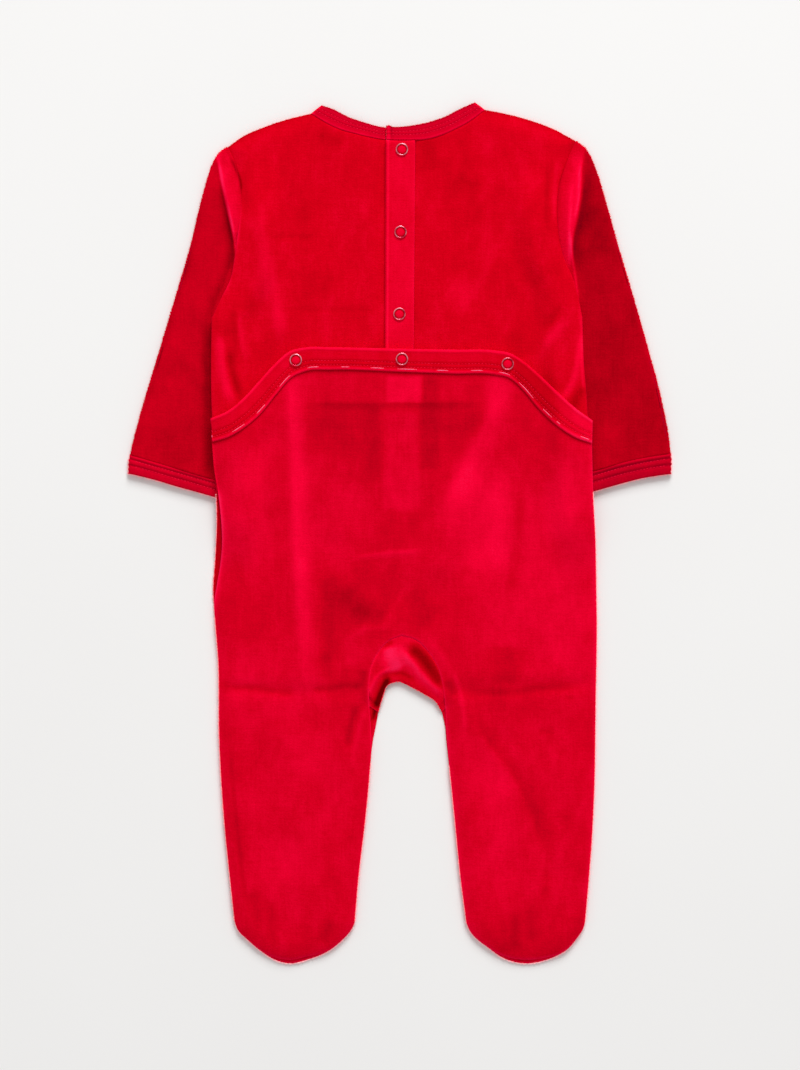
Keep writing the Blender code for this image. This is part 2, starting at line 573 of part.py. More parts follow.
def open_tube(outer, inner):
    """Points and faces of a tube with a wall, open at both ends, from rows of rings."""
    rows, count = outer.shape[:2]
    number = np.arange(rows * count).reshape(rows, count)
    here, there = number, np.roll(number, -1, axis=1)
    skin = np.stack([here[:-1], here[1:], there[1:], there[:-1]], -1).reshape(-1, 4)
    inside = number.size
    start = np.stack([here[0], there[0], there[0] + inside, here[0] + inside], -1)
    end = np.stack([here[-1], here[-1] + inside, there[-1] + inside, there[-1]], -1)
    points = np.concatenate([outer.reshape(-1, 3), inner.reshape(-1, 3)])
    return points, np.concatenate([skin, skin[:, ::-1] + inside, start, end])


def flat_tube(grid, top, bottom, wall, middle):
    """Rings of a flattened tube over a plan grid, whose first and last columns are its side edges.

    top and bottom are the heights of the outer faces at the grid's points. Its sides are half
    rounds about the height `middle`, drawn in two steps from the edge to the flat.
    """
    turns = np.array([0.0, 0.25 * np.pi, 0.5 * np.pi])
    rings = []
    for inset in (0.0, wall):
        over, under = [], []
        for column, inward in ((0, 1), (-1, -2)):
            way = grid[:, inward] - grid[:, column]
            way /= np.linalg.norm(way, axis=1, keepdims=True)
            high, low = top[:, column] - middle, middle - bottom[:, column]
            for turn in turns:
                in_over = high - (high - inset) * np.cos(turn)
                in_under = low - (low - inset) * np.cos(turn)
                up = middle + (high - inset) * np.sin(turn)
                down = middle - (low - inset) * np.sin(turn)
                over.append(np.column_stack([grid[:, column] + way * in_over[:, None], up]))
                under.append(np.column_stack([grid[:, column] + way * in_under[:, None], down]))
        flat_over = np.dstack([grid[:, 1:-1], top[:, 1:-1] - inset]).transpose(1, 0, 2)
        flat_under = np.dstack([grid[:, 1:-1], bottom[:, 1:-1] + inset]).transpose(1, 0, 2)
        ring = [*over[:3], *flat_over, *over[:2:-1], *under[4:], *flat_under[::-1], *under[2:0:-1]]
        rings.append(np.stack(ring, axis=1))
    return open_tube(*rings)


# ------------------------------------------------------------------ pieces
def half_crotch(points, x, left):
    """One half of a crotch curve, from its highest point at x down to its leg."""
    return [p for p in points if p.x <= x][::-1] if left else [p for p in points if p.x >= x]


def inner_line(crotch, inner, shares):
    """Points down half a crotch curve and the inner edge of a leg, at shares of its length."""
    below = [Point(r.x, r.height) for r in sorted(inner, reverse=True)]
    line = join(along(crotch, even(16)), along(below, even(40)))
    length = np.concatenate([[0], np.cumsum(np.linalg.norm(np.diff(line, axis=0), axis=1))])
    return np.stack([np.interp(shares * length[-1], length, line[:, k]) for k in (0, 1)], axis=-1)


def legs_and_body(top_line, shares, sides, heights, crotch, crotch_x, inner, ends, leg_steps):
    """Grids of a panel with two legs: a body down to a shallow V, and a leg from each half of it.

    top_line has a point for each column of both halves. sides gives the side edges' points at any
    heights, and heights those of the body's rows at either side.
    """
    shares = np.asarray(shares)
    half = len(shares) - 1
    mirrored = 1 - shares[::-1]
    apex = at_x(crotch, [crotch_x])[0]
    low = [side(np.array([HIP_HEIGHT]))[0] for side in sides]
    v_lines = between(low[0], apex, shares), between(apex, low[1], mirrored)
    left, right = (side(h) for side, h in zip(sides, heights))
    fall = (left[0, 1] - left[:, 1]) / (left[0, 1] - left[-1, 1])
    across = join(shares / 2, 0.5 + mirrored / 2)
    body = patch(top_line, join(*v_lines), left, right, across, fall, hold=6)
    grids = [body[:, : half + 1], body[:, half:]]
    down = even(leg_steps)
    for k, (v_line, end, side) in enumerate(zip(v_lines, ends, sides)):
        ankle = end[0 if k == 0 else -1][1]
        outer = side(HIP_HEIGHT + down * (ankle - HIP_HEIGHT))
        inside = inner_line(half_crotch(crotch, crotch_x, k == 0), inner[k], down)
        edges = (outer, inside) if k == 0 else (inside, outer)
        grids.append(patch(v_line, end, *edges, (shares, mirrored)[k], down))
    return grids


def front_panel():
    """Front of the body and legs, in one piece: it lies on the table."""
    shares = np.asarray(FRONT_SHARES)
    shoulder = np.array(FRONT_SHOULDER)
    top = join(
        along(SHOULDER_LEFT, shoulder), along(FRONT_NECK, even(NECK_STEPS)),
        along(SHOULDER_RIGHT, 1 - shoulder[::-1]),
    )
    heights = [
        np.append(np.linspace(armhole[0].height, armhole[-1].height, ARM_STEPS + 1), FRONT_HEIGHTS)
        for armhole in (ARMHOLE_LEFT, ARMHOLE_RIGHT)
    ]
    plan = Plan(*legs_and_body(
        top, FRONT_SHARES,
        [lambda h: np.stack([body_edge(-1, h), h], -1), lambda h: np.stack([body_edge(1, h), h], -1)],
        heights, FRONT_CROTCH, FRONT_CROTCH_X, [INNER_LEFT, INNER_RIGHT],
        [between(TOE_LEFT[0], TOE_LEFT[-1], shares), between(TOE_RIGHT[0], TOE_RIGHT[-1], 1 - shares[::-1])],
        FRONT_LEG_STEPS,
    ))
    base = lift(plan.x, plan.y)
    sheet("front_panel", plan, base + WALL, base)


def foot_top(name, toe):
    """Front of a foot: the half round below the ankle seam."""
    line = along(toe, even(10)) - (0.0, SEAM)
    plan = Plan(patch(between(line[0], line[-1], even(6)), line[2:-2], line[:3], line[:-4:-1]))
    flat = np.zeros(len(plan.x))
    sheet(name, plan, flat + WALL, flat)


def bodice_grid(columns, side, heights):
    """Plan of half the back above the drop seat: shoulder and neck, armhole, hem and middle."""
    left = side < 0
    shoulder, neck = (SHOULDER_LEFT, NECK_SEAM[0]) if left else (SHOULDER_RIGHT, NECK_SEAM[-1])
    top = np.array([at_x(shoulder if side * c.top > side * neck.x else NECK_SEAM, c.top) for c in columns])
    hem = at_x(BODICE_HEM, [c.hem for c in columns])
    outer = np.stack([body_edge(side, heights), heights], axis=-1)
    fall = (heights[0] - heights) / (heights[0] - heights[-1])
    inner = -1 if left else 0
    middle = between(top[inner], hem[inner], fall)
    hem[0 if left else -1] = outer[-1]
    across = (hem[:, 0] - hem[0, 0]) / (hem[-1, 0] - hem[0, 0])
    return patch(top, hem, *((outer, middle) if left else (middle, outer)), across, fall)


def bodice_heights(armhole, hem):
    """Heights of the rows of half the bodice at its side, from the shoulder past the underarm."""
    underarm = armhole[-1].height
    return join(
        np.linspace(armhole[0].height, underarm, ARM_STEPS + 1), np.linspace(underarm, hem.y, HEM_STEPS + 1)
    )


def bodice_and_placket():
    """The two halves of the upper back, and the snap band on the right one's edge."""
    heights = bodice_heights(ARMHOLE_LEFT, BODICE_HEM[0])
    plan = Plan(bodice_grid(COLUMNS_LEFT, -1, heights))
    top = bodice_top(plan.x, plan.y) - underlap_dip(plan.x)
    sheet("back_left", plan, top, top - WALL)

    heights = bodice_heights(ARMHOLE_RIGHT, BODICE_HEM[-1])
    right = bodice_grid(COLUMNS_RIGHT, 1, heights)
    plan = Plan(right)
    top = bodice_top(plan.x, plan.y)
    sheet("back_right", plan, top, top - WALL)

    rows = right[:, 0, 1]
    fall = ((rows[0] - rows) / (rows[0] - rows[-1]))[:, None]
    edge = [at[0] + fall * (at[1] - at[0]) for at in (PLACKET_LEFT, PLACKET_RIGHT)]
    x = edge[0] + np.array(STRIP_SHARES) * (edge[1] - edge[0])
    y = np.repeat(rows[:, None], len(STRIP_SHARES), axis=1)
    soft = EDGE_TURN * np.array(STRIP_EDGES) * np.ones_like(x)
    plan = Plan(np.dstack([x, y, soft]))
    level = bodice_level(plan.x, plan.y)
    sheet("back_placket", plan, level + PLACKET_RISE - plan.given[:, 0], level - WALL)


def neck_bands():
    """Binding round the neck: left and right on the back, and one piece on the front."""
    left_x = [c.top for c in COLUMNS_LEFT if NECK_SEAM[0].x <= c.top < UNDERLAP_FOOT]
    right_x = [c.top for c in COLUMNS_RIGHT if c.top <= NECK_SEAM[-1].x]
    for name, xs, ends in (
        ("neck_band_left", left_x + [BINDING_ENDS_LEFT[1]], (NECK_TOP[0].x, BINDING_ENDS_LEFT[0])),
        ("neck_band_right", [BINDING_ENDS_RIGHT[1], 0.0] + right_x, (BINDING_ENDS_RIGHT[0], NECK_TOP[-1].x)),
    ):
        seam = at_x(NECK_SEAM, xs) + (0.0, SIDE_GAP)
        outer = at_x(NECK_TOP, np.linspace(*ends, len(xs)))
        down = np.array([0.0, 0.2, 0.55, 1.0])
        plan = Plan(patch(
            outer, seam, between(outer[0], seam[0], down), between(outer[-1], seam[-1], down), down=down
        ))
        level = bodice_level(plan.x, plan.y)
        if name == "neck_band_left":
            level = level - underlap_dip(plan.x)
            rise = BINDING_RISE
        else:
            rise = BINDING_RISE + BINDING_STEP * (1 - grow(plan.x, (10.0, 18.0)))
        sheet(name, plan, level + rise, level - WALL)
    line = along(FRONT_NECK, even(NECK_STEPS))
    plan = Plan(np.stack([offset_line(line, SIDE_GAP + d) for d in (NECK_BAND, 0.5 * NECK_BAND, 0.0)]))
    beside_placket = grow(np.abs(plan.x), (16.0, 26.0))
    rise = BINDING_RISE * roll(BODICE_EDGES, plan.x, plan.y) * beside_placket
    sheet("neck_band_front", plan, WALL + rise, 0.0 * rise)


def seat_and_facing():
    """Drop seat with the backs of the legs and feet, in one piece, and the strip on its top."""
    shares = np.asarray(HALF_SHARES)
    half = len(shares) - 1
    x = join(
        SEAT_BAND[0].x + shares * (CROTCH_X - SEAT_BAND[0].x),
        CROTCH_X + (1 - shares[::-1]) * (SEAT_BAND[-1].x - CROTCH_X),
    )
    table = np.array(SEAT_BAND)
    upper, lower = (np.stack([x, smooth(table[:, 0], table[:, k], x)], -1) for k in (1, 2))
    lower[0], lower[-1] = (edge(lower[k, 1]) for edge, k in ((seat_edge_left, 0), (seat_edge_right, -1)))
    strip = np.stack([upper + s * (lower - upper) for s in STRIP_SHARES])
    heights = [at + even(13) * (HIP_HEIGHT - at) for at in (lower[0, 1], lower[-1, 1])]
    grids = legs_and_body(
        lower, HALF_SHARES, [seat_edge_left, seat_edge_right], heights, BACK_CROTCH[1:-1], CROTCH_X,
        [[Edge(p.y, p.x) for p in (BACK_CROTCH[1],)] + SEAT_INNER_LEFT,
         [Edge(p.y, p.x) for p in (BACK_CROTCH[-2],)] + SEAT_INNER_RIGHT],
        [along(sole_toe(TOE_LEFT), shares), along(sole_toe(TOE_RIGHT), 1 - shares[::-1])], BACK_LEG_STEPS,
    )
    plan = Plan(strip[:, : half + 1], strip[:, half:], *grids)
    top = seat_top(plan.x, plan.y)
    sheet("seat_panel", plan, top, top - WALL)

    edge = EDGE_TURN * np.array(STRIP_EDGES)[:, None, None] * np.ones(strip.shape[:2] + (1,))
    plan = Plan(np.concatenate([strip, edge], axis=-1))
    base = seat_top(plan.x, plan.y) + LAYER_GAP
    sheet("seat_facing", plan, base + FACING - plan.given[:, 0], base)


def gusset():
    """Crescent between the legs: from under the seat's arched edge it bulges and turns down."""
    shares = even(16)
    arch = along(BACK_CROTCH, shares)
    reach = lengths(BACK_CROTCH)[1][-1] * np.minimum(shares, 1 - shares)
    under = GUSSET_TUCK * grow(reach, GUSSET_SLIP) - 1.5 * SIDE_GAP
    start = arch + under[:, None] * (offset_line(arch, 1.0) - arch)
    outer = along(FRONT_CROTCH, shares)
    down = np.array([r.share for r in GUSSET_PROFILE])
    grid = patch(start, outer, between(start[0], outer[0], down), between(start[-1], outer[-1], down),
                 down=down)
    lowest = WALL + LAYER_GAP + GUSSET_WALL
    tucked = np.where(under > 0, np.maximum(seat_top(*start.T) - WALL - SIDE_GAP, lowest), lowest)
    roll_over = np.array([r.top for r in GUSSET_PROFILE])[:, None]
    bulge = GUSSET_BULGE * ramp(np.sin(np.pi * shares)) * roll_over
    top = np.maximum(tucked + down[:, None] * (lowest - tucked) + bulge, lowest)
    plan = Plan(np.concatenate([grid, top[..., None]], axis=-1))
    sheet("crotch_gusset", plan, plan.given[:, 0], plan.given[:, 0] - GUSSET_WALL)


def sleeve(name, side):
    """A sleeve lying flat, from the armhole to the cuff seam, partly under the body."""
    left = side < 0
    stations = STATIONS_LEFT if left else STATIONS_RIGHT
    armhole = ARMHOLE_LEFT if left else ARMHOLE_RIGHT
    outer = SLEEVE_OUTER_LEFT if left else SLEEVE_OUTER_RIGHT
    inner = SLEEVE_INNER_LEFT if left else SLEEVE_INNER_RIGHT
    order = slice(None) if left else slice(None, None, -1)

    seam_y = np.array([s.seam_y for s in stations])
    tuck = np.array([s.tuck for s in stations])
    seam = np.stack([edge_x(armhole, seam_y) - side * tuck, seam_y], axis=-1)
    seam[0] = outer[0]
    foot = np.array([(s.foot_x, s.foot_y) for s in stations])
    length = lengths(outer)[1]
    foot_share = length[OUTER_FOOT] / length[-1]
    fold = np.array([r.share for r in SLEEVE_ROWS])
    top_part = patch(seam, foot, along(outer, fold * foot_share), between(seam[-1], foot[-1], fold),
                     down=fold)
    rows = even(6) ** 1.1
    outer_part = along(outer, foot_share + rows * (1 - foot_share))
    inner_part = along(inner, rows)
    wrist = along(CUFF_SEAM_LEFT if left else CUFF_SEAM_RIGHT, even(len(stations) - 1))[order]
    main_part = patch(foot, wrist, outer_part, inner_part, down=rows)
    grid = np.concatenate([top_part, main_part[1:]])[:, order]

    rise = np.array([s.rise for s in stations])[order]
    edge_lift = lift(edge_x(armhole, seam_y), seam_y)[order]
    hang = np.where(tuck[order] < 0, np.minimum(edge_lift, rise + 0.2), 0.0)
    top = np.full(grid.shape[:2], SLEEVE_HEIGHT)
    bottom = np.zeros(grid.shape[:2])
    for k, row in enumerate(SLEEVE_ROWS):
        top[k] += rise * row.top
        bottom[k] = hang * (1 - row.share) ** 2
    cloth_object(name, *flat_tube(grid, top, bottom, WALL, 0.5 * SLEEVE_HEIGHT), velour(name))


def cuff(name, seam, end):
    """Turned hem at a wrist: a short flat tube that stands out a little past the sleeve."""
    columns, down = even(8), np.array(STRIP_SHARES)
    start, stop = along(seam, columns) - (0.0, SIDE_GAP), along(end, columns)
    grid = np.stack([start + s * (stop - start) for s in down])
    flare = CUFF_FLARE * np.array(CUFF_SWELL)
    grid[:, 0, 0] -= flare
    grid[:, -1, 0] += flare
    height = CUFF_HEIGHT - np.array(STRIP_EDGES)[:, None] * EDGE_TURN
    top = np.repeat(height, len(columns), axis=1)
    cloth_object(name, *flat_tube(grid, top, 0 * top, WALL, 0.5 * CUFF_HEIGHT), velour(name))


def snap_ring(spot, metal):
    """Prong ring of a snap, seen on the outside: a round bead about an open middle."""
    turns = np.linspace(0, 2 * np.pi, SNAP_SIDES, endpoint=False)
    x, y = spot.x + SNAP_RADIUS * np.cos(turns), spot.y + SNAP_RADIUS * np.sin(turns)
    if spot.on == "placket":
        base = (bodice_level(x, y) + PLACKET_RISE).max() + SEAM
    else:
        base = (seat_top(x, y) + LAYER_GAP + FACING).max() + SEAM
    middle, half = 0.5 * (SNAP_RADIUS + SNAP_HOLE), 0.5 * (SNAP_RADIUS - SNAP_HOLE)
    rings = np.array([
        [(spot.x + (middle + r * half) * np.cos(t), spot.y + (middle + r * half) * np.sin(t),
          base + h * SNAP_HEIGHT) for t in turns]
        for r, h in SNAP_SECTION
    ])
    number = np.arange(rings.shape[0] * rings.shape[1]).reshape(rings.shape[:2])
    here, there = number, np.roll(number, -1, axis=1)
    next_here, next_there = np.roll(here, -1, axis=0), np.roll(there, -1, axis=0)
    faces = np.stack([next_here, next_there, there, here], -1).reshape(-1, 4)
    cloth_object(spot.name, rings.reshape(-1, 3), faces, metal)


def main():
    for old in list(bpy.data.objects):
        bpy.data.objects.remove(old)
    front_panel()
    foot_top("foot_top_left", TOE_LEFT)
    foot_top("foot_top_right", TOE_RIGHT)
    bodice_and_placket()
    neck_bands()
    seat_and_facing()
    gusset()
    sleeve("sleeve_left", -1)
    sleeve("sleeve_right", 1)
    cuff("cuff_left", CUFF_SEAM_LEFT, CUFF_END_LEFT)
    cuff("cuff_right", CUFF_SEAM_RIGHT, CUFF_END_RIGHT)
    for spot in SNAPS:
        snap_ring(spot, finish(spot.name + "_metal", (0.62, 0.42, 0.42), 0.3, 1.0))


main()
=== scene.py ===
"""A baby's footed sleepsuit in red velour, laid out flat with its back up: cloth, sewing, snaps and light.

Each cloth piece is a wall over a plan. The plan is one or more grids of points on the table, worked
out as whole arrays, and the wall has a height for its upper face and one for its lower face at every
point. Sizes and tables are in millimetres, and mesh_object() turns them into metres. +X is the
wearer's right, +Y the neck and +Z up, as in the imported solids, and left and right are the picture's.
"""
import math

import bpy
import numpy as np
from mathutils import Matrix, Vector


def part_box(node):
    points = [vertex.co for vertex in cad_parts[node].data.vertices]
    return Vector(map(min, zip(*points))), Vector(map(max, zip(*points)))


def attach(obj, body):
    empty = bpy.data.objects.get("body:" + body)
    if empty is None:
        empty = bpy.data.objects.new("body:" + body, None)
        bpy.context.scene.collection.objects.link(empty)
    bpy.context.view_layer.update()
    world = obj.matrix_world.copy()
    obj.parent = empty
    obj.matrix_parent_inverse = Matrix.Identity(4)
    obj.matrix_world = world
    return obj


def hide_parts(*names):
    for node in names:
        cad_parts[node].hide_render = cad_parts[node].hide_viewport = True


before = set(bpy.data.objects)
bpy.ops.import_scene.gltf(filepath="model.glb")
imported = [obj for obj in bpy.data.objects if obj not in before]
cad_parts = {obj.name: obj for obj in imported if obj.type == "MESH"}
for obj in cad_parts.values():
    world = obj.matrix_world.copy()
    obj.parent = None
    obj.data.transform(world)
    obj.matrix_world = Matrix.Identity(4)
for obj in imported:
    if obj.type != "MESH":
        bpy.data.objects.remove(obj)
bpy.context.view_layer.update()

MM = 0.001

# ------------------------------------------------------------------ sizes of the cut
WALL = 1.5            # velour, pile included
SEAM = 0.3            # gap between two pieces at a seam
SIDE_GAP = 0.4        # gap beside a curved seam
LAYER_GAP = 0.4       # and between the faces of two layers
BINDING_RISE = 0.4    # the folded neck binding stands this much over the back ...
BINDING_STEP = 0.6    # ... and this much more at the end of the snap band
BINDING_GAP = 0.12    # gap between the binding and the neck seam
BAND_RISE = 0.9       # the snap band stands this much over the back
STRIP_WALL = 1.0      # strip sewn on the top of the drop seat
STRIP_LIP = 1.5       # its lower edge rolls this far past the overlocking
GUSSET_WALL = 1.3
GUSSET_TUCK = 3.0     # the gusset reaches this far under the seat's arched edge ...
GUSSET_SLIP = (6.0, 18.0)       # ... which it slips under over this stretch from each tip
GUSSET_LEAST_TUCK = 0.2         # and this much at its tips
GUSSET_BULGE = 1.3
GUSSET_FLUSH = 1.3    # it comes up by this beside the seat's edge, to lie nearly level with it ...
GUSSET_FLUSH_ENDS = (0.04, 0.14)        # ... growing over these shares of the edge from each tip ...
GUSSET_FLUSH_STEP = (-0.35, 0.35)       # ... and between these distances past the edge ...
GUSSET_FLUSH_FADE = 5.0         # ... and dying away by e in this one
GUSSET_CALM = 0.3     # its creases grow over this share of its width from each edge
GUSSET_TIP = 0.5      # its wall thins to this at its tips, over GUSSET_TAPER
GUSSET_TAPER = 12.0
TIP_GAP = 0.1         # gap below those tips
TUCK_GAP = 0.15       # and above the gusset, where it is tucked under the seat
SLEEVE_HEIGHT = 3.8   # a sleeve lying flat: two walls and a little air
HEM_HEIGHT = 3.9      # and a wrist hem
HEM_FLARE = 0.8       # which stands out this much past its sleeve, on each side ...
HEM_TEETH = 0.3       # ... and wavers by this where the stitches pull it in
HEM_TOOTH = 0.24      # in waves as long as this share of its width
HEM_EDGE_DROP = 0.35  # its ends are thinner by this, which dies away by e in HEM_EDGE_REACH of its width
HEM_EDGE_REACH = 0.03
BODY_LIFT = 4.2       # how far the body's sides are held up by the sleeves under them
LIFT_OUTER = 18.0     # the lift is full to this far inside the body's edge ...
LIFT_INNER = 36.0     # ... and has gone here
LIFT_TOP = 278.0      # it starts at this height, is full LIFT_RISE lower ...
LIFT_RISE = 63.0
LIFT_FOOT = -30.0     # ... and has gone again here, LIFT_FALL below its last full height
LIFT_FALL = 44.0
ROLL = 14.0           # width over which a panel rolls down to its outer edge
BACK_LOFT = 1.9       # air under the upper back, away from the edges
SEAT_LOFT = 2.4       # air under the drop seat and the legs
OVERLAP_EDGE = 1.8    # rise of the seat where it lies over the back, at the sides ...
OVERLAP_MIDDLE = 2.6  # ... and in the middle, over the snap band

# How the edges of the cloth are rounded, and how its surface stirs.
RIM_BULGE = 0.22      # a cloth's edge stands out this far at its middle height
RIM_TURN = 0.4        # share of half the wall by which its faces close in on each other there
RIM_PAINTED_SHEEN = 0.7       # and a painted sheen highlight makes it this much lighter there
SEAM_PULL = 0.7       # sewing draws a sleeve in by this under what it is sewn to
RIPPLE = 0.22         # height of the low uneven waves in every panel
RIPPLE_SHIFT = 40.0   # those under a sleeve are moved by this, so that they differ from those on it
SLEEVE_SHOWN = (1.0, 8.0)       # a sleeve's waves and creases grow over these distances from the body
SLEEVE_CREASE_MOST = 0.5
HANG_MORE = 0.2       # a sleeve's underside hangs at the seam by this more than its rise
CREASE_FADE = 0.22    # share of a crease's length over which it comes up at either end
BACK_CREASE_LEAST = 0.35        # share of its height that a back's crease keeps beside the snap band ...
SEAT_CREASE_LEAST = 0.4         # ... and a seat's crease where the seat lies over the back

# Sewing.
STITCH_PITCH = 2.4
STITCH_LENGTH = 1.75
THREAD = 0.19         # radius of a thread
THREAD_SIDES = 6
STITCH_SIZES = (0.35, 0.9, 1.0, 0.9, 0.35)      # a stitch's thickness along it, as shares of the thread's
STITCH_SINK = 0.35    # how far its ends would sink at no thickness
ROW_RISE = 0.1        # a row of stitches lies this much above its cloth
OVERLOCK = 0.26       # radius of the overlock thread
OVERLOCK_PLACE = 0.89           # where it runs, as a share of the strip's width
OVERLOCK_SINK = 0.3
OVERLOCK_POINTS = 24

# Ring snaps.
RING_RADIUS = 4.05    # of the ring's round wire, to its middle
RING_WIRE = 0.43
RING_SINK = 0.1       # it lies this much below the solid ring
RING_POINTS = (64, 16)          # round the ring, and round its wire
SNAP_CLOTH = 3.35     # radius of the cloth that bulges inside the ring
SNAP_CLOTH_WALL = 0.3
SNAP_CLOTH_SINK = 0.2
SNAP_CLOTH_PAINTED_LIGHT = (0.7, -4.2)           # painted highlight in its middle, and the change to painted shade a radius from 0.7 of it outwards
SNAP_DOME = 0.55      # its rise
SNAP_DIMPLE = 0.3     # the cloth outside the ring is pinched in by this ...
SNAP_PINCH = 2.2      # ... in a bell of this half width
SNAP_BASE = 0.3       # gap under the solid ring

# ------------------------------------------------------------------ outlines
# Rows are (height, x) for edges, and (x, height) for lines that run across.
# Outer edges of the body. Each has a corner at the underarm.
ARMHOLE_LEFT = [
    (278, -124), (268, -119.6), (259, -117), (243.5, -114.5), (228, -115), (212, -117), (197, -119),
    (182, -122.1), (168, -129), (154, -135.4),
]
ARMHOLE_RIGHT = [
    (282.5, 126.3), (265.3, 119.7), (249, 114.6), (232, 113.2), (212, 114.6), (195, 118.8), (185, 123.6),
    (170, 128), (155, 131),
]
SIDE_LEFT = [
    (154, -135.4), (112, -135.9), (84, -135.2), (60, -133.9), (27, -132.2), (9, -131.8), (-19, -133.2),
    (-41, -134.7), (-63, -133.2), (-91, -131), (-149, -130.2), (-207, -126.7), (-250, -122.4),
    (-279.5, -119.2),
]
SIDE_RIGHT = [
    (155, 131), (123, 132.1), (102, 133.8), (80, 135.2), (60, 137.2), (27, 138.6), (-6, 140.6),
    (-62, 141.8), (-120, 141), (-192, 139.7), (-221, 138.2), (-250, 136), (-279.5, 133.4),
]
# The drop seat's sides. On the left the side seam has rolled over, and a strip of the front shows.
SEAT_SIDE_LEFT = [
    (82, -136), (67, -134.1), (45, -132.6), (30, -130.3), (10, -128.3), (-6, -127.9), (-24, -129.6),
    (-38, -132), (-50, -133.8), (-63, -133.2),
]
SEAT_SIDE_RIGHT = [
    (80.6, 138.2), (66, 137.9), (48, 138.2), (27, 138.8), (-6, 140.6), (-62, 141.8),
]
INNER_LEFT = [
    (-129, -15.8), (-137.5, -17.3), (-149, -19.6), (-178, -22.4), (-207, -25.2), (-250, -30.2),
    (-280.5, -32.8),
]
INNER_RIGHT = [
    (-129, 30.4), (-137.5, 32.4), (-150, 33.6), (-178, 36.7), (-207, 39.6), (-250, 43.9), (-281, 48),
]
SEAT_INNER_LEFT = [(-124.6, -22.3), (-137, -21.4), (-150, -20.8)] + INNER_LEFT[3:]
SEAT_INNER_RIGHT = [(-126, 32.8), (-138, 33.4), (-151, 34.2)] + INNER_RIGHT[3:]

# Shoulders and neck, from the armhole to the neck point and on to the middle.
SHOULDER_LEFT = [
    (-124, 278), (-113, 285.8), (-100, 291.6), (-83.5, 297.3), (-64, 302.2),
]
SHOULDER_RIGHT = [
    (61, 304.9), (71.3, 303), (93.6, 297.3), (109.4, 291.5), (126.3, 282.5),
]
NECK_SEAM = [
    (-64, 302.2), (-53.7, 295.6), (-42.7, 290.5), (-31.7, 287.5), (-20.7, 284.9), (-10, 283.4),
    (7.6, 282.9), (18.7, 283.5), (29.7, 286.4), (40.7, 291.3), (51.7, 297.5), (61, 304.9),
]
NECK_TOP = [
    (-56.5, 308.2), (-48.2, 305.3), (-37.2, 299.7), (-26.1, 295.9), (-15.1, 293), (2.2, 292.8),
    (10.9, 293.9), (22, 296.4), (33, 300.2), (42.9, 305.3), (54, 310.3),
]
FRONT_NECK = [
    (-64, 302.2), (-62, 286), (-54.5, 266), (-38, 251.5), (-18, 245.5), (0, 244), (18, 245.5),
    (37, 251.5), (53, 266), (59.6, 287), (61, 304.9),
]
NECK_BAND = 10        # width of the neck binding
BACK_HEM = [
    (-133.8, 56), (-116, 70), (-96, 86), (-76, 91.5), (0, 92), (76, 92.5), (97, 87), (118, 71),
    (137, 58),
]
# Columns of the two halves of the upper back: x on the shoulder and neck line, and on the hem.
COLUMNS_LEFT = [
    (-124, -133.8), (-121, -131), (-116, -125.5), (-108, -117.5), (-99, -108.5), (-88, -98), (-76, -84),
    (-64, -70), (-53, -57), (-42, -44), (-31, -32), (-20, -20), (-16, -16), (-12, -12), (-2, -2),
    (8.4, 7.4),
]
COLUMNS_RIGHT = [
    (11.2, 9.8), (21, 21), (31, 32), (41, 44), (51, 57), (61, 70), (74, 84), (87, 98), (99, 109),
    (109, 119.5), (117.5, 127.5), (123, 133.5), (126.3, 136.6),
]
UNDERLAP_START = -20    # the left half dips from here, to pass under the snap band ...
UNDERLAP_FOOT = -12     # ... and is down here
UNDERLAP_SHADE = (-13.0, -9.0)          # between these x it darkens by UNDERLAP_TONE
UNDERLAP_TONE = -0.5
BAND_LEFT = (-10.1, -10.8)      # x of the snap band's edges, at the neck and at the hem
BAND_RIGHT = (10.8, 9.4)
BINDING_ENDS_LEFT = (-10.3, -10.6)      # x of the binding's ends at the opening: upper edge and seam
BINDING_ENDS_RIGHT = (-9.9, -9.9)
BINDING_STEP_END = (10.0, 18.0)         # the right binding is raised by its step up to these x
NECK_CALM = (16.0, 26.0)        # the front's binding rises over these distances from the middle
OPENING_X = -8.2        # the binding's edge at the opening stands up here ...
OPENING_BUMP = 1.6      # ... by this ...
OPENING_HALF = 2.0      # ... in a bell of this half width
STITCHED_X = -6.6       # rows of stitches stop short of the turned edge of the opening

# Top strip of the drop seat: x, and the heights of its upper edge, which is the seat's, and its lower.
SEAT_BAND = [
    (-136, 82, 66.8), (-122, 88.3, 71.2), (-112, 96.8, 77.5), (-101, 109.3, 87.4), (-90, 121.3, 101),
    (-80, 130, 112.3), (-68, 133.2, 118), (-50, 133.2, 119), (0, 132.2, 117.6), (40, 131.5, 116.2),
    (68, 131, 115.6), (80, 128.6, 112.6), (90, 122.2, 103.6), (100, 113.5, 91.6), (112, 101.8, 79.8),
    (126, 89.2, 70.3), (138.2, 80.6, 66),
]
CROTCH_X = 1.4        # the seat's crotch arch is highest here
BACK_CROTCH = [
    (-22.3, -124.6), (-22.7, -113), (-20.9, -98), (-15.1, -85), (-7.2, -77), (1.4, -73.6), (10.8, -76.3),
    (19.4, -84), (26.6, -95), (31, -109.4), (32.8, -126),
]
FRONT_CROTCH_X = -1
FRONT_CROTCH = [
    (-15.8, -129), (-12.8, -118.5), (-9, -109.5), (-1, -106.9), (8.5, -111), (16.6, -115.4),
    (26, -121.5), (30.4, -129),
]
TOE_LEFT = [
    (-119.2, -279.5), (-116.8, -286), (-110.2, -292.8), (-100, -301.6), (-88, -308.6), (-79, -310.3),
    (-67, -307.6), (-51.8, -301.4), (-41, -292.6), (-34.6, -284.8), (-32.8, -280.5),
]
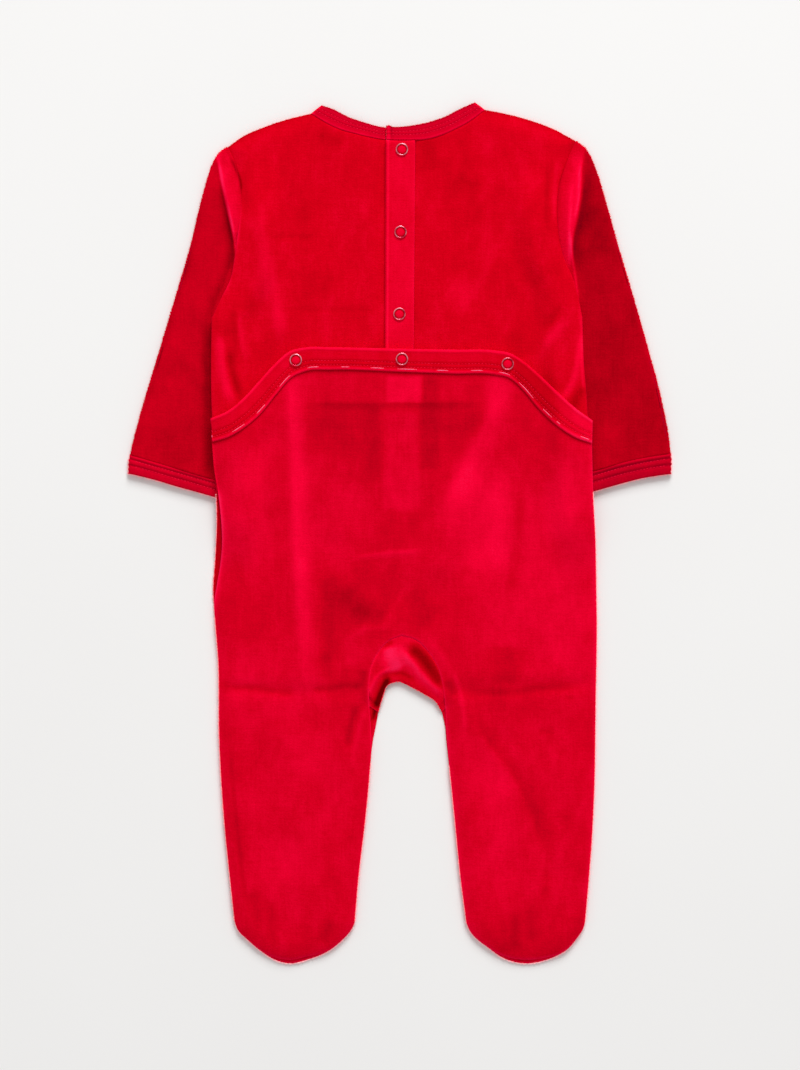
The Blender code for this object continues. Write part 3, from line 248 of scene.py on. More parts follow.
TOE_RIGHT = [
    (48, -281), (50.6, -286.8), (63.4, -298.6), (74.9, -306.6), (90, -310.3), (106, -307.6),
    (118.8, -301.4), (127.5, -292), (132.2, -284.4), (133.4, -279.5),
]
TOE_INSET = 2.7       # the sole stops this short of the toe's edge, at its middle ...
TOE_INSET_SHARE = 0.31      # ... over this share of the foot's width to each side
HIP_HEIGHT = -40        # where the legs' grids start, at the sides

# Sleeves. The top edge of a sleeve folds over beside the armhole: from the seam it rises by
# `rise`, and at its foot it has dropped to the sleeve. Towards the underarm it is tucked under the
# body, `tuck` inside its edge. Rows are the seam's height, tuck, rise, and the foot's x and height.
STATIONS_LEFT = [
    (278, -SIDE_GAP, 0, -134.4, 268.2), (267.7, -SIDE_GAP, 0.2, -132.6, 262),
    (257.3, -SIDE_GAP, 0.9, -131, 254), (247, -SIDE_GAP, 1.7, -129, 245.5),
    (236.7, -SIDE_GAP, 2.6, -126.6, 236), (226.3, -SIDE_GAP, 2.9, -124.2, 226),
    (216, -SIDE_GAP, 2, -121.9, 215.5), (208.5, -SIDE_GAP, 0, -121, 207), (200, 3.5, 0, -120, 197),
    (189, 7.5, 0, -119.5, 185.5), (174, 10.5, 0, -121.5, 169.5), (157.5, 11.5, 0, -122.2, 152.5),
]
STATIONS_RIGHT = [
    (282.5, -SIDE_GAP, 0, 138.6, 269.3), (271.9, -SIDE_GAP, 0.2, 137.6, 263),
    (261.3, -SIDE_GAP, 0.9, 137.2, 255), (250.6, -SIDE_GAP, 1.7, 136.6, 246.5),
    (240, -SIDE_GAP, 2.6, 134.9, 237.5), (229.4, -SIDE_GAP, 3, 132.4, 227.5),
    (218.8, -SIDE_GAP, 3, 129.6, 217.5), (208.1, -SIDE_GAP, 2.5, 127.2, 207),
    (197.5, -SIDE_GAP, 1.2, 126.2, 196.5), (190.5, -SIDE_GAP, 0, 126.6, 188.5), (182, 5, 0, 126, 178.5),
    (170.5, 11, 0, 122.5, 166), (157.5, 12.5, 0, 119.5, 152.5),
]
SLEEVE_OUTER_LEFT = [
    (-124.7, 278.6), (-130.3, 274.6), (-134.4, 268.2), (-139, 255.5), (-143.3, 239.8), (-151.2, 207),
    (-160.6, 175), (-173.5, 131.8), (-184.3, 96), (-192.2, 67), (-194.8, 55.6),
]
SLEEVE_OUTER_RIGHT = [
    (127.1, 283), (134, 277.2), (138.6, 269.3), (143, 257.5), (148.3, 239.8), (157.5, 207), (167, 175),
    (179.3, 131.8), (188, 99), (194, 68), (195.3, 56.6),
]
OUTER_FOOT = 2        # the point of those lines where the fold's foot meets the edge
SLEEVE_INNER_LEFT = [(-122.2, 152.5), (-121.5, 100), (-119.5, 33.9)]
SLEEVE_INNER_RIGHT = [(119.5, 152.5), (121.5, 100), (124.5, 40)]
WRIST_SEAM_LEFT = [
    (-194.8, 55.6), (-177, 50.2), (-157, 44.6), (-133, 37.6), (-119.5, 33.9),
]
WRIST_SEAM_RIGHT = [
    (124.5, 40), (141.1, 44.6), (157, 49.2), (176, 53.4), (195.3, 56.6),
]
WRIST_END_LEFT = [
    (-195.2, 42.8), (-177.3, 38.4), (-161.3, 33.6), (-146, 29.4), (-119.9, 21.8),
]
WRIST_END_RIGHT = [
    (124.9, 25.6), (139.2, 29.8), (150.3, 33), (175.5, 39.6), (194.6, 42.6),
]

# Largest folds, as in the solids: x and height of both ends, half width and rise.
SEAT_FOLDS = [
    (-79, 110, -72, -108, 10, 0.8), (-46, -10, -45, -104, 9, -0.6), (72, 92, 30, -22, 10, 0.9),
    (112, 40, 96, -90, 11, -0.5), (-20, -45, 24, -46, 12, -0.7), (-124, -112, -30, -115, 6, -0.8),
    (42, -113, 134, -109, 6, -0.8), (44, -124, 74, -166, 8, 0.5), (74, -150, 108, -245, 9, -0.6),
    (-33, -130, -29, -168, 7, -0.5), (-75, -150, -78, -250, 16, 0.6), (92, -300, 92, -282, 14, -0.5),
]
BACK_FOLDS = [
    (-99, 238, -84, 146, 9, 0.5), (-124, 140, -113, 108, 7, -0.5), (102, 176, 117, 132, 8, -0.5),
    (-58, 250, -40, 190, 13, -0.4), (60, 262, 40, 200, 13, -0.4),
]
CALM_BAND = (14.0, 28.0)        # the back's folds grow from none to full over this far from the middle
CALM_HEM = (96.0, 126.0)        # and over these heights above its hem
ARCH = (4.0, -84.0, 34.0, 0.7)  # the seat stands up a little over the crotch: x, height, radius, rise
HEM_STEP = 0.2                  # share of the seat's rise that comes in a step at the back's hem
STEP_HEIGHTS = (70.0, 86.0)
SLOPE_HEIGHTS = (-30.0, 80.0)

# Fine creases and brushed places: half width on the left of the line, going along it, and on its
# right, rise, tone (1 bright, -1 dark), and the line's points. The tone is the nap's, and also
# painted shade beside raised edges and in folds, and painted highlight on their crests.
SEAT_CREASES = [
    (9, 4, 0.4, 0.95, [(-80, 140), (-76, 60), (-75, 10), (-72, -50), (-69, -108)]),
    (11, 6, 0.4, 0.8, [(73, 136), (65, 84), (55, 62), (45, 40), (36, 24), (30, -4)]),
    (9, 9, 0, 0.35, [(120, 62), (118, 20), (112, -10)]),
    (5, 5, -0.2, -0.35, [(83, 44), (85, 10), (78, -60)]),
    (1.4, 5, -0.3, -0.6, [(-74, 92.5), (0, 92.5), (68, 92.5)]),
    (2.6, 2.6, -0.4, -0.55, [(-130, -111), (-100, -112.5), (-84, -115), (-71, -115)]),
    (2.2, 2.2, -0.4, -0.45, [(-66, -113), (-50, -112.5), (-41, -110.5), (-33, -110)]),
    (3, 3, -0.4, -0.6, [(40, -113), (60, -115), (80, -115), (100, -112), (136, -111)]),
    (1.6, 1.6, -0.25, -0.4, [(-123, -146), (-120, -185), (-116, -224), (-111.5, -260), (-107, -278)]),
    (6, 3, -0.4, -0.45, [(48, -124), (67, -153), (83, -175), (96, -201), (104, -226), (108, -246)]),
    (1.8, 1.8, 0.3, 0.5, [(38, -96), (44, -120), (47, -146)]),
    (10, 10, 0, 0.3, [(60, -150), (72, -190), (76, -240)]),
    (1.2, 3, 0.3, 0.5, [(-36, -18.5), (-20, -15.5), (0, -13.5), (18, -12)]),
    (6, 6, -0.2, -0.45, [(-48, -22), (-51, -60), (-52, -101)]),
    (8, 8, 0, -0.6, [(-42, -36), (-34, -52), (-20, -62)]),
    (9, 9, 0, -0.45, [(-34, -50), (-10, -64)]),
    (10, 10, 0, -0.4, [(0, -44), (26, -66)]),
    (4, 5, 0, -0.45, [(-53, -84), (-51, -106)]),
    (4, 2.5, 0.2, 0.4, [(-37, -84), (-32, -73), (-15, -68), (-2, -69)]),
    (7, 7, 0, 0.3, [(-31, -78), (-34, -100)]),
    (3, 3, 0.2, 0.3, [(20, -76), (34, -96), (38, -110)]),
    (12, 12, -0.2, -0.65, [(78, -78), (76, -112)]),
    (2.6, 2.6, -0.5, -0.6, [(-36, -112), (-28, -109), (-26, -97)]),
    (3, 3, -0.4, -0.6, [(33, -106), (40, -118)]),
    (2.2, 2.2, 0.3, 0.35, [(-24, -118), (-27, -133), (-32, -152), (-34, -166), (-29.5, -176)]),
    (2.6, 2.6, -0.5, -0.6, [(-30, -122), (-36, -140), (-39, -158)]),
    (2.4, 2.4, -0.2, -0.35, [(99, -142), (112, -144)]),
    (2, 2, -0.2, -0.35, [(117, -118), (126, -119)]),
    (4, 4, -0.3, -0.4, [(-105.5, -256), (-102, -288)]),
    (3.5, 3.5, -0.3, -0.4, [(-95, -262), (-90, -300)]),
    (4, 4, 0, -0.2, [(-67, -264), (-66, -292)]),
    (4, 4, -0.2, -0.4, [(82, -270), (84, -304)]),
    (3.5, 3.5, -0.2, -0.35, [(93, -266), (95, -300)]),
    (3, 3, -0.2, -0.4, [(106, -240), (103, -264)]),
    (4, 4, -0.3, -0.4, [(-58, -297), (-49, -278)]),
    (14, 14, 0, 0.25, [(-66, -138), (-60, -180)]),
    (14, 14, 0, 0.25, [(-92, -214), (-88, -256)]),
    (12, 12, 0, 0.2, [(66, -200), (70, -246)]),
]
# Places where the snap band and its layers press through the seat, where the nap lies otherwise,
# and painted light that lifts broad places, the feet among them, which the lamp leaves darker:
# from x to x, from height to height, how soft their edges are, and their tone.
SEAT_PATCHES = [
    (-9.5, 16, 93.5, 113, 1.5, 0.75), (-12.5, 14.5, 17, 92, 2.5, 0.3), (14.5, 28, 46, 112, 3.5, -0.5),
    (-25, -12.5, 36, 90, 5, -0.35), (-71, -14, 58, 91, 9, -0.3), (29, 62, 66, 91, 9, -0.3),
    (62, 142, -104, 40, 22, 0.45), (-128, -58, -134, -84, 16, 0.4), (-64, -20, -20, 40, 16, 0.25),
    (-120, -20, -310, -136, 18, 0.15), (40, 128, -310, -130, 18, 0.2),
    (-120, -20, -310, -270, 10, 0.1), (40, 128, -310, -270, 10, 0.2),
    (-130, -92, -20, 66, 14, 0.45), (40, 78, -26, 46, 12, 0.5),
]
BACK_CREASES = [
    (0.9, 0.9, 0, -1.1,
     [(122, 272), (116.5, 255.4), (114.1, 239), (114.1, 222.6), (117.1, 203.5), (122, 190)]),
    (1.4, 1.4, 0, 1.5,
     [(-115.6, 246), (-116, 225), (-117.5, 213), (-119.6, 203), (-123, 184), (-127.4, 168)]),
    (0.8, 0.8, 0, -1.2, [(-123, 273), (-117.4, 261), (-114.5, 252), (-114.7, 243)]),
    (1.3, 1.3, 0, 0.7, [(129, 166), (131, 140), (131, 120), (133, 92)]),
    (5, 7, 0.4, 0.5, [(-104, 244), (-98, 207), (-92, 176), (-85, 146), (-83, 130)]),
    (2.5, 4.5, 0.5, 0.9, [(-130, 146), (-128.5, 134), (-126.6, 115), (-119, 90)]),
    (3, 2, -0.5, -0.8, [(-123, 134), (-121.8, 121), (-113, 92)]),
    (5, 1.2, 0.3, 0.6, [(-117, 164), (-116, 145), (-110, 122)]),
    (1.2, 4, -0.2, -0.35, [(-118, 160), (-117, 140)]),
    (2, 4, 0, 0.2, [(-116, 158), (-86, 158)]),
    (2.2, 2.2, -0.2, -0.25, [(-94, 213), (-60, 213)]),
    (2.2, 2.2, -0.15, -0.2, [(-90, 160.6), (-12, 160.6)]),
    (3.5, 2, 0.4, 0.8, [(130, 148), (128.5, 131), (123.7, 109), (112, 90)]),
    (4, 4, -0.3, -0.9, [(119, 84), (134, 107)]),
    (4, 4, -0.3, -0.5, [(102, 115), (115, 101)]),
    (4, 4, 0.2, 0.5, [(102, 132), (120, 155)]),
    (3, 3, -0.2, -0.4, [(102, 145), (117, 165)]),
    (2.4, 2.4, 0.3, 0.45, [(114, 272), (111.5, 245), (111.5, 220)]),
    (2.6, 2.6, -0.2, -0.4, [(108, 270), (106, 245), (106, 212)]),
    (10, 10, 0, -0.2, [(38, 258), (62, 244)]),
    (1.6, 1.6, -0.2, -0.25, [(42, 256), (56, 248)]),
    (8, 8, 0, -0.4, [(17, 287), (24, 258)]),
    (4, 4, 0, -0.4, [(-60, 288), (-40, 280)]),
    (11, 11, 0, 0.4, [(34, 179), (54, 165)]),
    (5, 5, 0, 0.2, [(63, 300), (63, 240), (64, 180)]),
    (12, 12, 0, -0.15, [(-108, 170), (-97, 128)]),
    (12, 12, 0, -0.2, [(-62, 200), (-40, 180)]),
    (10, 10, 0, -0.3, [(80, 150), (96, 128)]),
]
SLEEVE_CREASES = [
    (1.3, 1.1, 0.1, 1.8,
     [(-133.5, 275), (-131, 268), (-128.6, 255), (-126, 242), (-122.8, 228), (-118.8, 212)]),
    (1.1, 1.2, 0.2, 1.5, [(122, 220), (123.3, 206), (125.5, 190), (127.9, 173), (129, 162)]),
    (0.8, 0.8, -0.1, -1.2, [(-123.6, 273), (-117.8, 261), (-115, 252), (-115, 243)]),
    (14, 0.9, 0.3, 0.85,
     [(-132.5, 280), (-130, 264), (-128, 252), (-125, 238), (-122, 224), (-119, 208), (-117.5, 192)]),
    (1.3, 0.8, 0.2, 0.7, [(-125, 238), (-121.5, 221), (-118.6, 207), (-117.6, 198)]),
    (4, 3, 0, 0.6, [(-134, 268), (-127, 274), (-120, 266)]),
    (0.7, 4.5, -0.3, -1.3, [(-129, 256), (-124.5, 236), (-121.5, 219), (-119.8, 206), (-122, 186)]),
    (1, 4, -0.2, -0.6, [(-121, 200), (-127, 181), (-134, 165), (-137, 152)]),
    (5, 4, 0, -0.95, [(-137.3, 166), (-138.6, 120), (-138.5, 80), (-137, 26)]),
    (2, 2, 0, -0.2, [(-139, 264), (-149, 207), (-172, 132), (-192, 62)]),
    (20, 20, 0, -0.25, [(-168, 84), (-150, 36)]),
    (1.5, 14, 0.3, 1.45,
     [(133.5, 290), (132.5, 277), (130, 263.6), (129.2, 244.4), (126.8, 228), (123.2, 211.7), (122.6, 178)]),
    (1.2, 1.2, 0.2, 0.8, [(124, 256), (122.5, 230), (121.5, 205), (122.5, 186)]),
    (1.2, 1.2, 0.2, 0.9, [(131, 272), (129.6, 262), (128.8, 244), (125, 222)]),
    (7, 1, -0.2, -0.6, [(134, 268), (132.6, 246), (130, 230), (126.2, 214), (125.4, 198), (126, 180)]),
    (8, 8, 0, -0.45, [(138, 240), (147, 196)]),
    (3, 1.5, 0, 0.2, [(141, 266), (156, 207), (178, 132), (194, 62)]),
    (9, 9, 0, 0.3, [(152, 84), (150, 40)]),
]
FRONT_CREASES = [
    (4, 4, 0, -0.55, [(-131, 48), (-131.5, 20), (-132.5, -5), (-134.3, -40), (-133.6, -90), (-132.6, -126)]),
    (8, 8, 0.5, 0.4, [(-60, 190), (-42, 60)]), (8, 8, 0.5, 0.4, [(70, 205), (40, 84)]),
    (6, 6, 0.4, -0.3, [(-104, -50), (-90, -205)]), (6, 6, 0.4, -0.3, [(66, -124), (95, -232)]),
    (3, 3, 0.35, -0.5, [(-118, -112), (-38, -114)]), (3, 3, 0.35, -0.5, [(43, -113), (128, -111)]),
    (1.8, 1.8, 0, -2.2, [(-15, -118), (-17.5, -126), (-18.5, -136)]),
    (10, 10, 0.5, 0.3, [(-24, -40), (22, -60)]), (4, 4, 0.4, 0.3, [(-118, 150), (-104, 110)]),
]
GUSSET_CREASES = [
    (7, 7, 0.4, 1.9, [(-9, -80), (-6, -90), (0, -101)]),
    (2.6, 4, 0.6, 1.2, [(-2, -80), (8.9, -94), (16.4, -103.5), (25.8, -112), (34, -120)]),
    (6, 4.5, -0.5, -1.6, [(4, -80), (16, -90.4), (24.5, -101.7), (31, -114)]),
    (3, 3, -0.2, -0.7, [(-17, -90), (-12.6, -83), (-4, -77)]),
    (1.6, 1.6, 0.4, 0.8, [(-23, -119), (-19.2, -108), (-13.5, -100.7), (-4, -97.5)]),
    (1.6, 1.6, -0.3, -0.8, [(-15, -105), (-8, -101.8), (1.4, -101.6), (12, -107)]),
    (4, 4, 0, -0.4, [(-6, -106), (14, -112), (30, -123)]),
    (2.6, 2.6, 0, -2.8, [(-7, -102), (-11, -110), (-15, -119), (-18, -128)]),
]
# Between these heights the feet are darker by this tone, and by this much more on the right.
FEET_DARK = (-254.0, -300.0, -0.2, -0.3)
SLEEVE_TONE = {-1: -0.35, 1: -0.8}      # the sleeves are darker: their nap lies the other way, and painted shade where they lie low ...
HEM_SHADE = 0.8                         # ... and their hems' by this share of it
# Painted light and shade along edges: tone, and the distance in which it dies away by e.
FOOT_TONE = -0.4
# painted highlight along the toe's edge
FOOT_EDGE_HIGHLIGHT = (1.3, 0.8)
SHOULDER_PAINTED_SHADE = (-1.1, 1.2)             # painted shade along the shoulders, where the pile is seen from its side
# painted sheen highlight on the rims of the upper back
BACK_RIM_PAINTED_SHEEN = 0.1
SEAT_EDGE_REACH = 1.6
SEAT_EDGE_HIGHLIGHT = {-1: 0.35, 1: 0.85}    # painted highlight along the seat's edges, on the left and on the right
ROLLED_HIGHLIGHT = 1.6                       # more painted highlight on the left where the side seam has rolled over:
ROLLED = ((36.0, 12.0), (-66.0, 20.0))  # full this far below the first height and above the second
# painted highlight along the seat's arched edge: tone, and its reach
ARCH_EDGE_HIGHLIGHT = (0.8, 0.8)
STRIP_SHADE = -0.3                      # under the strip's lip, STRIP_SHADE_HALF to each side
STRIP_SHADE_HALF = 3.0
STRIP_SHADE_DROP = 0.6
GUSSET_PAINTED_LIGHT = 0.5                       # painted light along the seat's arch, GUSSET_REACH of its width in ...
GUSSET_REACH = 0.12
GUSSET_EDGE_PAINTED_LIGHT = (0.9, 0.7)                # ... and painted light on both sides of the arch's edge itself, against the shade there

# Snaps: name, x, height, and what each is set in.
SNAPS = [
    ("snap_neck", 1.4, 276.2, "band"), ("snap_back_upper", 0.4, 216.7, "band"),
    ("snap_back_lower", -0.4, 157.7, "band"), ("snap_seat_left", -74.9, 124.3, "seat"),
    ("snap_seat_middle", 1.4, 125.0, "seat"), ("snap_seat_right", 77.4, 121.6, "seat"),
]

# Across strips: a PROFILE's rows are place (share of the width from the upper edge), half width and
# rise in mm, a LIGHT's rows place, half width and tone of painted light and shade (shade in the
# grooves, highlights on ridges and edges), and ROWS are the places of rows of stitches.
SEAT_STRIP_PROFILE = [(0.07, 0.06, 0.25), (0.60, 0.05, -0.3), (0.80, 0.05, -0.28), (0.93, 0.05, 0.1)]
SEAT_STRIP_ROWS = (0.60, 0.80)
SEAT_STRIP_TONE = 0.15
SEAT_STRIP_LIGHT = [
    (0.04, 0.06, 1.0), (0.60, 0.05, -0.7), (0.70, 0.04, -0.2), (0.80, 0.05, -0.6), (0.95, 0.05, 0.9),
]
STRIP_END_LIGHT = (108.0, 132.0, 0.7)   # the strip lightens between these x by this tone
STRIP_TURN_DARK = (78.0, 86.0, 104.0, 116.0, -0.45)     # and is darker from the 2nd to the 3rd of these
BINDING_PROFILE = [
    (0.16, 0.12, 0.15), (0.36, 0.06, -0.2), (0.48, 0.05, 0.1), (0.61, 0.06, -0.2), (0.8, 0.1, 0.05),
]
BINDING_ROWS = (0.36, 0.61)
BINDING_TONE = -0.25
BINDING_LIGHT = [(0.0, 0.1, -1.0), (0.36, 0.06, -0.4), (0.61, 0.06, -0.4), (0.93, 0.1, 0.7)]
OPENING_LIGHT = [(-8.4, 1.3, 0.9), (-6.3, 0.5, -0.6), (-10.2, 0.6, -0.6)]     # painted highlight and shade by x, at the opening
SNAP_BAND_PROFILE = [(0.03, 0.05, 0.12), (0.26, 0.035, -0.1), (0.97, 0.05, 0.1)]
BAND_TONE = 0.45
BAND_LIGHT = [(0.0, 0.03, -0.3), (0.075, 0.035, 0.7), (0.16, 0.04, -0.1), (0.965, 0.03, 0.35)]
WRIST_PROFILE = [
    (0.06, 0.05, 0.12), (0.21, 0.05, -0.35), (0.36, 0.07, 0.12), (0.53, 0.05, -0.35), (0.8, 0.2, 0.1),
]
WRIST_ROWS = (0.25, 0.57)
WRIST_LIGHT = [
    (0.04, 0.05, 0.5), (0.2, 0.06, -0.9), (0.3, 0.05, 0.4), (0.52, 0.06, -0.8), (0.62, 0.05, 0.3),
]
# Light overlock thread that shows along the strip's lower seam, in shares of its length.
OVERLOCK_DASHES = [
    (0.005, 0.014), (0.060, 0.106), (0.133, 0.170), (0.212, 0.259), (0.291, 0.326), (0.368, 0.394),
    (0.433, 0.475), (0.492, 0.552), (0.584, 0.620), (0.662, 0.698), (0.726, 0.761), (0.773, 0.840),
    (0.859, 0.897), (0.905, 0.918), (0.966, 0.996),
]

# Counts of the grids.
ARM_ROWS = 90         # rows of the body's panels from shoulder to underarm
HEM_ROWS = 64         # and of the upper back from there to its hem
SEAT_ROWS = 124
LEG_ROWS = 134
COLUMNS_FINE = 6      # the seat's and back's columns are this much finer than the solids' ...
SLEEVE_FINE = 6       # ... and so are a sleeve's ...
BINDING_FINE = 5      # ... and the neck binding's
SLEEVE_LENGTHS = 110
SLEEVE_CROWDING = 1.1           # power of the share down a sleeve: its rows stand closer near the fold
WRIST_COLUMNS = 40
GUSSET_COLUMNS = 80
GUSSET_ROWS = 44
SNAP_CLOTH_CELLS = 14
FRONT_HEIGHTS = (132, 108, 84, 60, 38, 20, 10, 0, -10, -20, -30, HIP_HEIGHT)
HALF_SHARES = (0, 0.02, 0.055, 0.118, 0.185, 0.26, 0.345, 0.43, 0.52, 0.61, 0.70, 0.79, 0.87, 0.945, 1)
FRONT_SHARES = (0, 0.03, 0.125, 0.25, 0.42, 0.60, 0.78, 0.92, 1)
FRONT_SHOULDER = (0, 0.07, 0.28, 1)
FRONT_FINE = 4
FRONT_ROWS = 12       # rows beside an armhole, and down a leg, before they are made finer
TUBE_TURNS = 5        # points in a quarter of a tube's side

# Shares down a fold, and shares of its rise there.
SLEEVE_FOLD = [(0, 0.85), (0.4, 1.2), (0.8, 1), (1, 0)]
GUSSET_ROLL = [(0, 0), (0.14, 0.2), (0.22, 0.7), (0.34, 0.85), (0.52, 1), (0.68, 0.55), (0.84, 0.1), (1, 0)]

# Low waves of every panel: waves along x and along y, in radians a mm, and phase.
RIPPLE_WAVES = [
    (0.071, 0.034, 0.4), (-0.039, 0.083, 1.9), (0.126, -0.067, 4.1), (0.048, 0.109, 2.7),
    (-0.151, -0.043, 0.9),
]


# ------------------------------------------------------------------ curves and surfaces
def smooth(at, values, where):
    """Cubic Hermite curve through values at the places `at`, read at `where`."""
    at, values = np.asarray(at, float), np.asarray(values, float)
    where = np.asarray(where, float)
    slope = np.gradient(values, at, axis=0)
    i = np.clip(np.searchsorted(at, where, side="right") - 1, 0, len(at) - 2)
    step = at[i + 1] - at[i]
    t = np.clip((where - at[i]) / step, 0.0, 1.0)
    if values.ndim > 1:
        t, step = t[..., None], step[..., None]
    return (
        (2 * t**3 - 3 * t**2 + 1) * values[i]
        + (t**3 - 2 * t**2 + t) * step * slope[i]
        + (3 * t**2 - 2 * t**3) * values[i + 1]
        + (t**3 - t**2) * step * slope[i + 1]
    )


def lengths(line):
    """Length of a line of points up to each of them."""
    return np.concatenate([[0], np.cumsum(np.linalg.norm(np.diff(line, axis=0), axis=1))])


def along(table, shares):
    """Points at these shares of the length of a smooth line through the table's points."""
    knots = np.asarray(table, float)
    length = lengths(knots)
    return smooth(length, knots, np.asarray(shares, float) * length[-1])


def at_x(table, x):
    """Points at these x of a smooth line whose table runs along x."""
    knots, x = np.asarray(table, float), np.asarray(x, float)
    return np.stack([x, smooth(knots[:, 0], knots[:, 1], x)], axis=-1)


def edge_x(table, heights):
    """The x of an edge at these heights."""
    rows = np.array(sorted(table), float)
    return smooth(rows[:, 0], rows[:, 1], heights)


def edge_points(table, heights):
    """Points of an edge at these heights."""
    return np.stack([edge_x(table, heights), heights], axis=-1)


def even(count):
    """Shares from 0 to 1 in this many even steps."""
    return np.linspace(0.0, 1.0, count + 1)


def refine(values, times):
    """The same values, with times - 1 more evenly between each two."""
    values = np.asarray(values, float)
    where = np.arange((len(values) - 1) * times + 1) / times
    known = np.arange(len(values))
    if values.ndim == 1:
        return np.interp(where, known, values)
    return np.stack([np.interp(where, known, column) for column in values.T], axis=-1)


def join(*lines):
    """One line of points from several that follow on from each other."""
    return np.concatenate([lines[0]] + [line[1:] for line in lines[1:]])


def between(start, end, shares):
    """Points at these shares of the way from start to end."""
    return np.asarray(start) + np.asarray(shares)[:, None] * (np.asarray(end) - np.asarray(start))


def patch(top, bottom, left, right, across=None, down=None, hold=1):
    """Coons patch: a grid of points, row by row, that fills four edges.

    It is the ruled surface from the top edge to the bottom one, plus what the left and right edges
    stray from it, each faded by its share of the way across to the power of hold.
    """
    u = (even(len(top) - 1) if across is None else np.asarray(across))[None, :, None]
    v = (even(len(left) - 1) if down is None else np.asarray(down))[:, None, None]
    ruled = (1 - v) * top[None] + v * bottom[None]
    from_left, from_right = left[:, None] - ruled[:, :1], right[:, None] - ruled[:, -1:]
    return ruled + (1 - u) ** hold * from_left + u**hold * from_right


def ramp(t):
    """0 below 0, 1 above 1, and 3t^2 - 2t^3 between."""
    t = np.clip(t, 0.0, 1.0)
    return t * t * (3 - 2 * t)


def grow(values, limits):
    """ramp() of the way from one limit to the other."""
    return ramp((values - limits[0]) / (limits[1] - limits[0]))


def nearest(line, x, y):
    """How far each point is from a line of points, at which share of its length, and on which side."""
    line = np.asarray(line, float)
    p = np.stack([x, y], axis=-1)[..., None, :]
    a, d = line[:-1], np.diff(line, axis=0)
    t = np.clip(((p - a) * d).sum(-1) / (d * d).sum(-1), 0, 1)
    gap = p - a - t[..., None] * d
    away = np.hypot(gap[..., 0], gap[..., 1])
    turn = d[:, 0] * gap[..., 1] - d[:, 1] * gap[..., 0]
    pick = away.argmin(-1)[..., None]
    away, t, turn = (np.take_along_axis(values, pick, -1)[..., 0] for values in (away, t, turn))
    length, pick = lengths(line), pick[..., 0]
    return away, (length[pick] + t * np.diff(length)[pick]) / length[-1], turn


def distance_to(lines, x, y):
    """How far each point is from the nearest of these lines of points."""
    best = np.full(np.shape(x), np.inf)
    for line in lines:
        best = np.minimum(best, nearest(line, x, y)[0])
    return best


def folded(folds, x, y):
    """Sum of soft folds: each is a bell across its line that fades in the same bell past its ends."""
    total = np.zeros(np.shape(x))
    for x0, y0, x1, y1, half_width, rise in folds:
        away = nearest([(x0, y0), (x1, y1)], x, y)[0]
        total = total + rise * np.exp(-((away / half_width) ** 2))
    return total


def creased(creases, x, y):
    """Height and tone of fine creases: each is a bell across its line that comes up from both ends.

    The bell has one half width on the line's left, going along it, and another on its right.
    """
    height, tone = np.zeros(np.shape(x)), np.zeros(np.shape(x))
    for left, right, rise, light, knots in creases:
        line = along(knots, even(12))
        away, share, turn = nearest(line, x, y)
        bell = np.exp(-((away / np.where(turn > 0, left, right)) ** 2))
        bell *= ramp(share / CREASE_FADE) * ramp((1 - share) / CREASE_FADE)
        height += rise * bell
        tone += light * bell
    return height, tone


def pressed(patches, x, y):
    """Tone of soft-edged boxes: one ramp across each of their four sides."""
    tone = np.zeros(np.shape(x))
    for x0, x1, y0, y1, soft, light in patches:
        across = grow(x, (x0 - soft, x0 + soft)) * grow(-x, (-x1 - soft, soft - x1))
        tone += light * across * grow(y, (y0 - soft, y0 + soft)) * grow(-y, (-y1 - soft, soft - y1))
    return tone


def ripple(x, y):
    """Low uneven waves: a sum of five long sines that cross at odd angles, brought to about 1."""
    return RIPPLE * sum(np.sin(a * x + b * y + phase) for a, b, phase in RIPPLE_WAVES) / 2.2


def bells(profile, shares):
    """Height across a strip: a sum of bells, each at its share of the width."""
    shares = np.asarray(shares, float)
    return sum(rise * np.exp(-(((shares - place) / half) ** 2)) for place, half, rise in profile)


def strip_shares(profile, rows, count=14):
    """Shares across a strip: even ones, its rows of stitches, and both shoulders of each groove."""
    beside = [place + side * half for place, half, _ in profile for side in (-1, 1)]
    found = np.concatenate([even(count), rows, beside, [0.015, 0.985]])
    found = np.unique(np.round(np.clip(found, 0, 1), 3))
    keep = np.concatenate([[True], np.diff(found) > 0.008])
    keep[-1] = True
    return found[keep]


# ------------------------------------------------------------------ outlines
def body_edge(side, heights):
    """Outer edge of the body, armhole and side, at any height."""
    armhole, flank = (ARMHOLE_LEFT, SIDE_LEFT) if side < 0 else (ARMHOLE_RIGHT, SIDE_RIGHT)
    heights = np.asarray(heights, float)
    return np.where(heights > flank[0][0], edge_x(armhole, heights), edge_x(flank, heights))


def sole_toe(table):
    """The toe line of the back of a foot: the toe's edge, pulled in at its middle by a parabola."""
    points = np.array(table, float)
    middle = 0.5 * (points[0, 0] + points[-1, 0])
    half = TOE_INSET_SHARE * (points[-1, 0] - points[0, 0])
    points[:, 1] += TOE_INSET * np.maximum(0, 1 - ((points[:, 0] - middle) / half) ** 2)
    return points


def seat_edge(own, flank, heights):
    """Side edge of the seat panel: its own near the hips, and the body's below."""
    heights = np.asarray(heights, float)
    x = np.where(heights > own[-1][0], edge_x(own, heights), edge_x(flank, heights))
    return np.stack([x, heights], axis=-1)


def seat_edge_left(heights):
    """Points of the seat panel's left side at these heights."""
    return seat_edge(SEAT_SIDE_LEFT, SIDE_LEFT, heights)


def seat_edge_right(heights):
    """Points of the seat panel's right side at these heights."""
    return seat_edge(SEAT_SIDE_RIGHT, SIDE_RIGHT, heights)


def offset_line(line, distance):
    """A line moved to its left by a distance."""
    way = np.gradient(line, axis=0)
    way /= np.linalg.norm(way, axis=1, keepdims=True)
    return line + distance * np.stack([-way[:, 1], way[:, 0]], axis=-1)


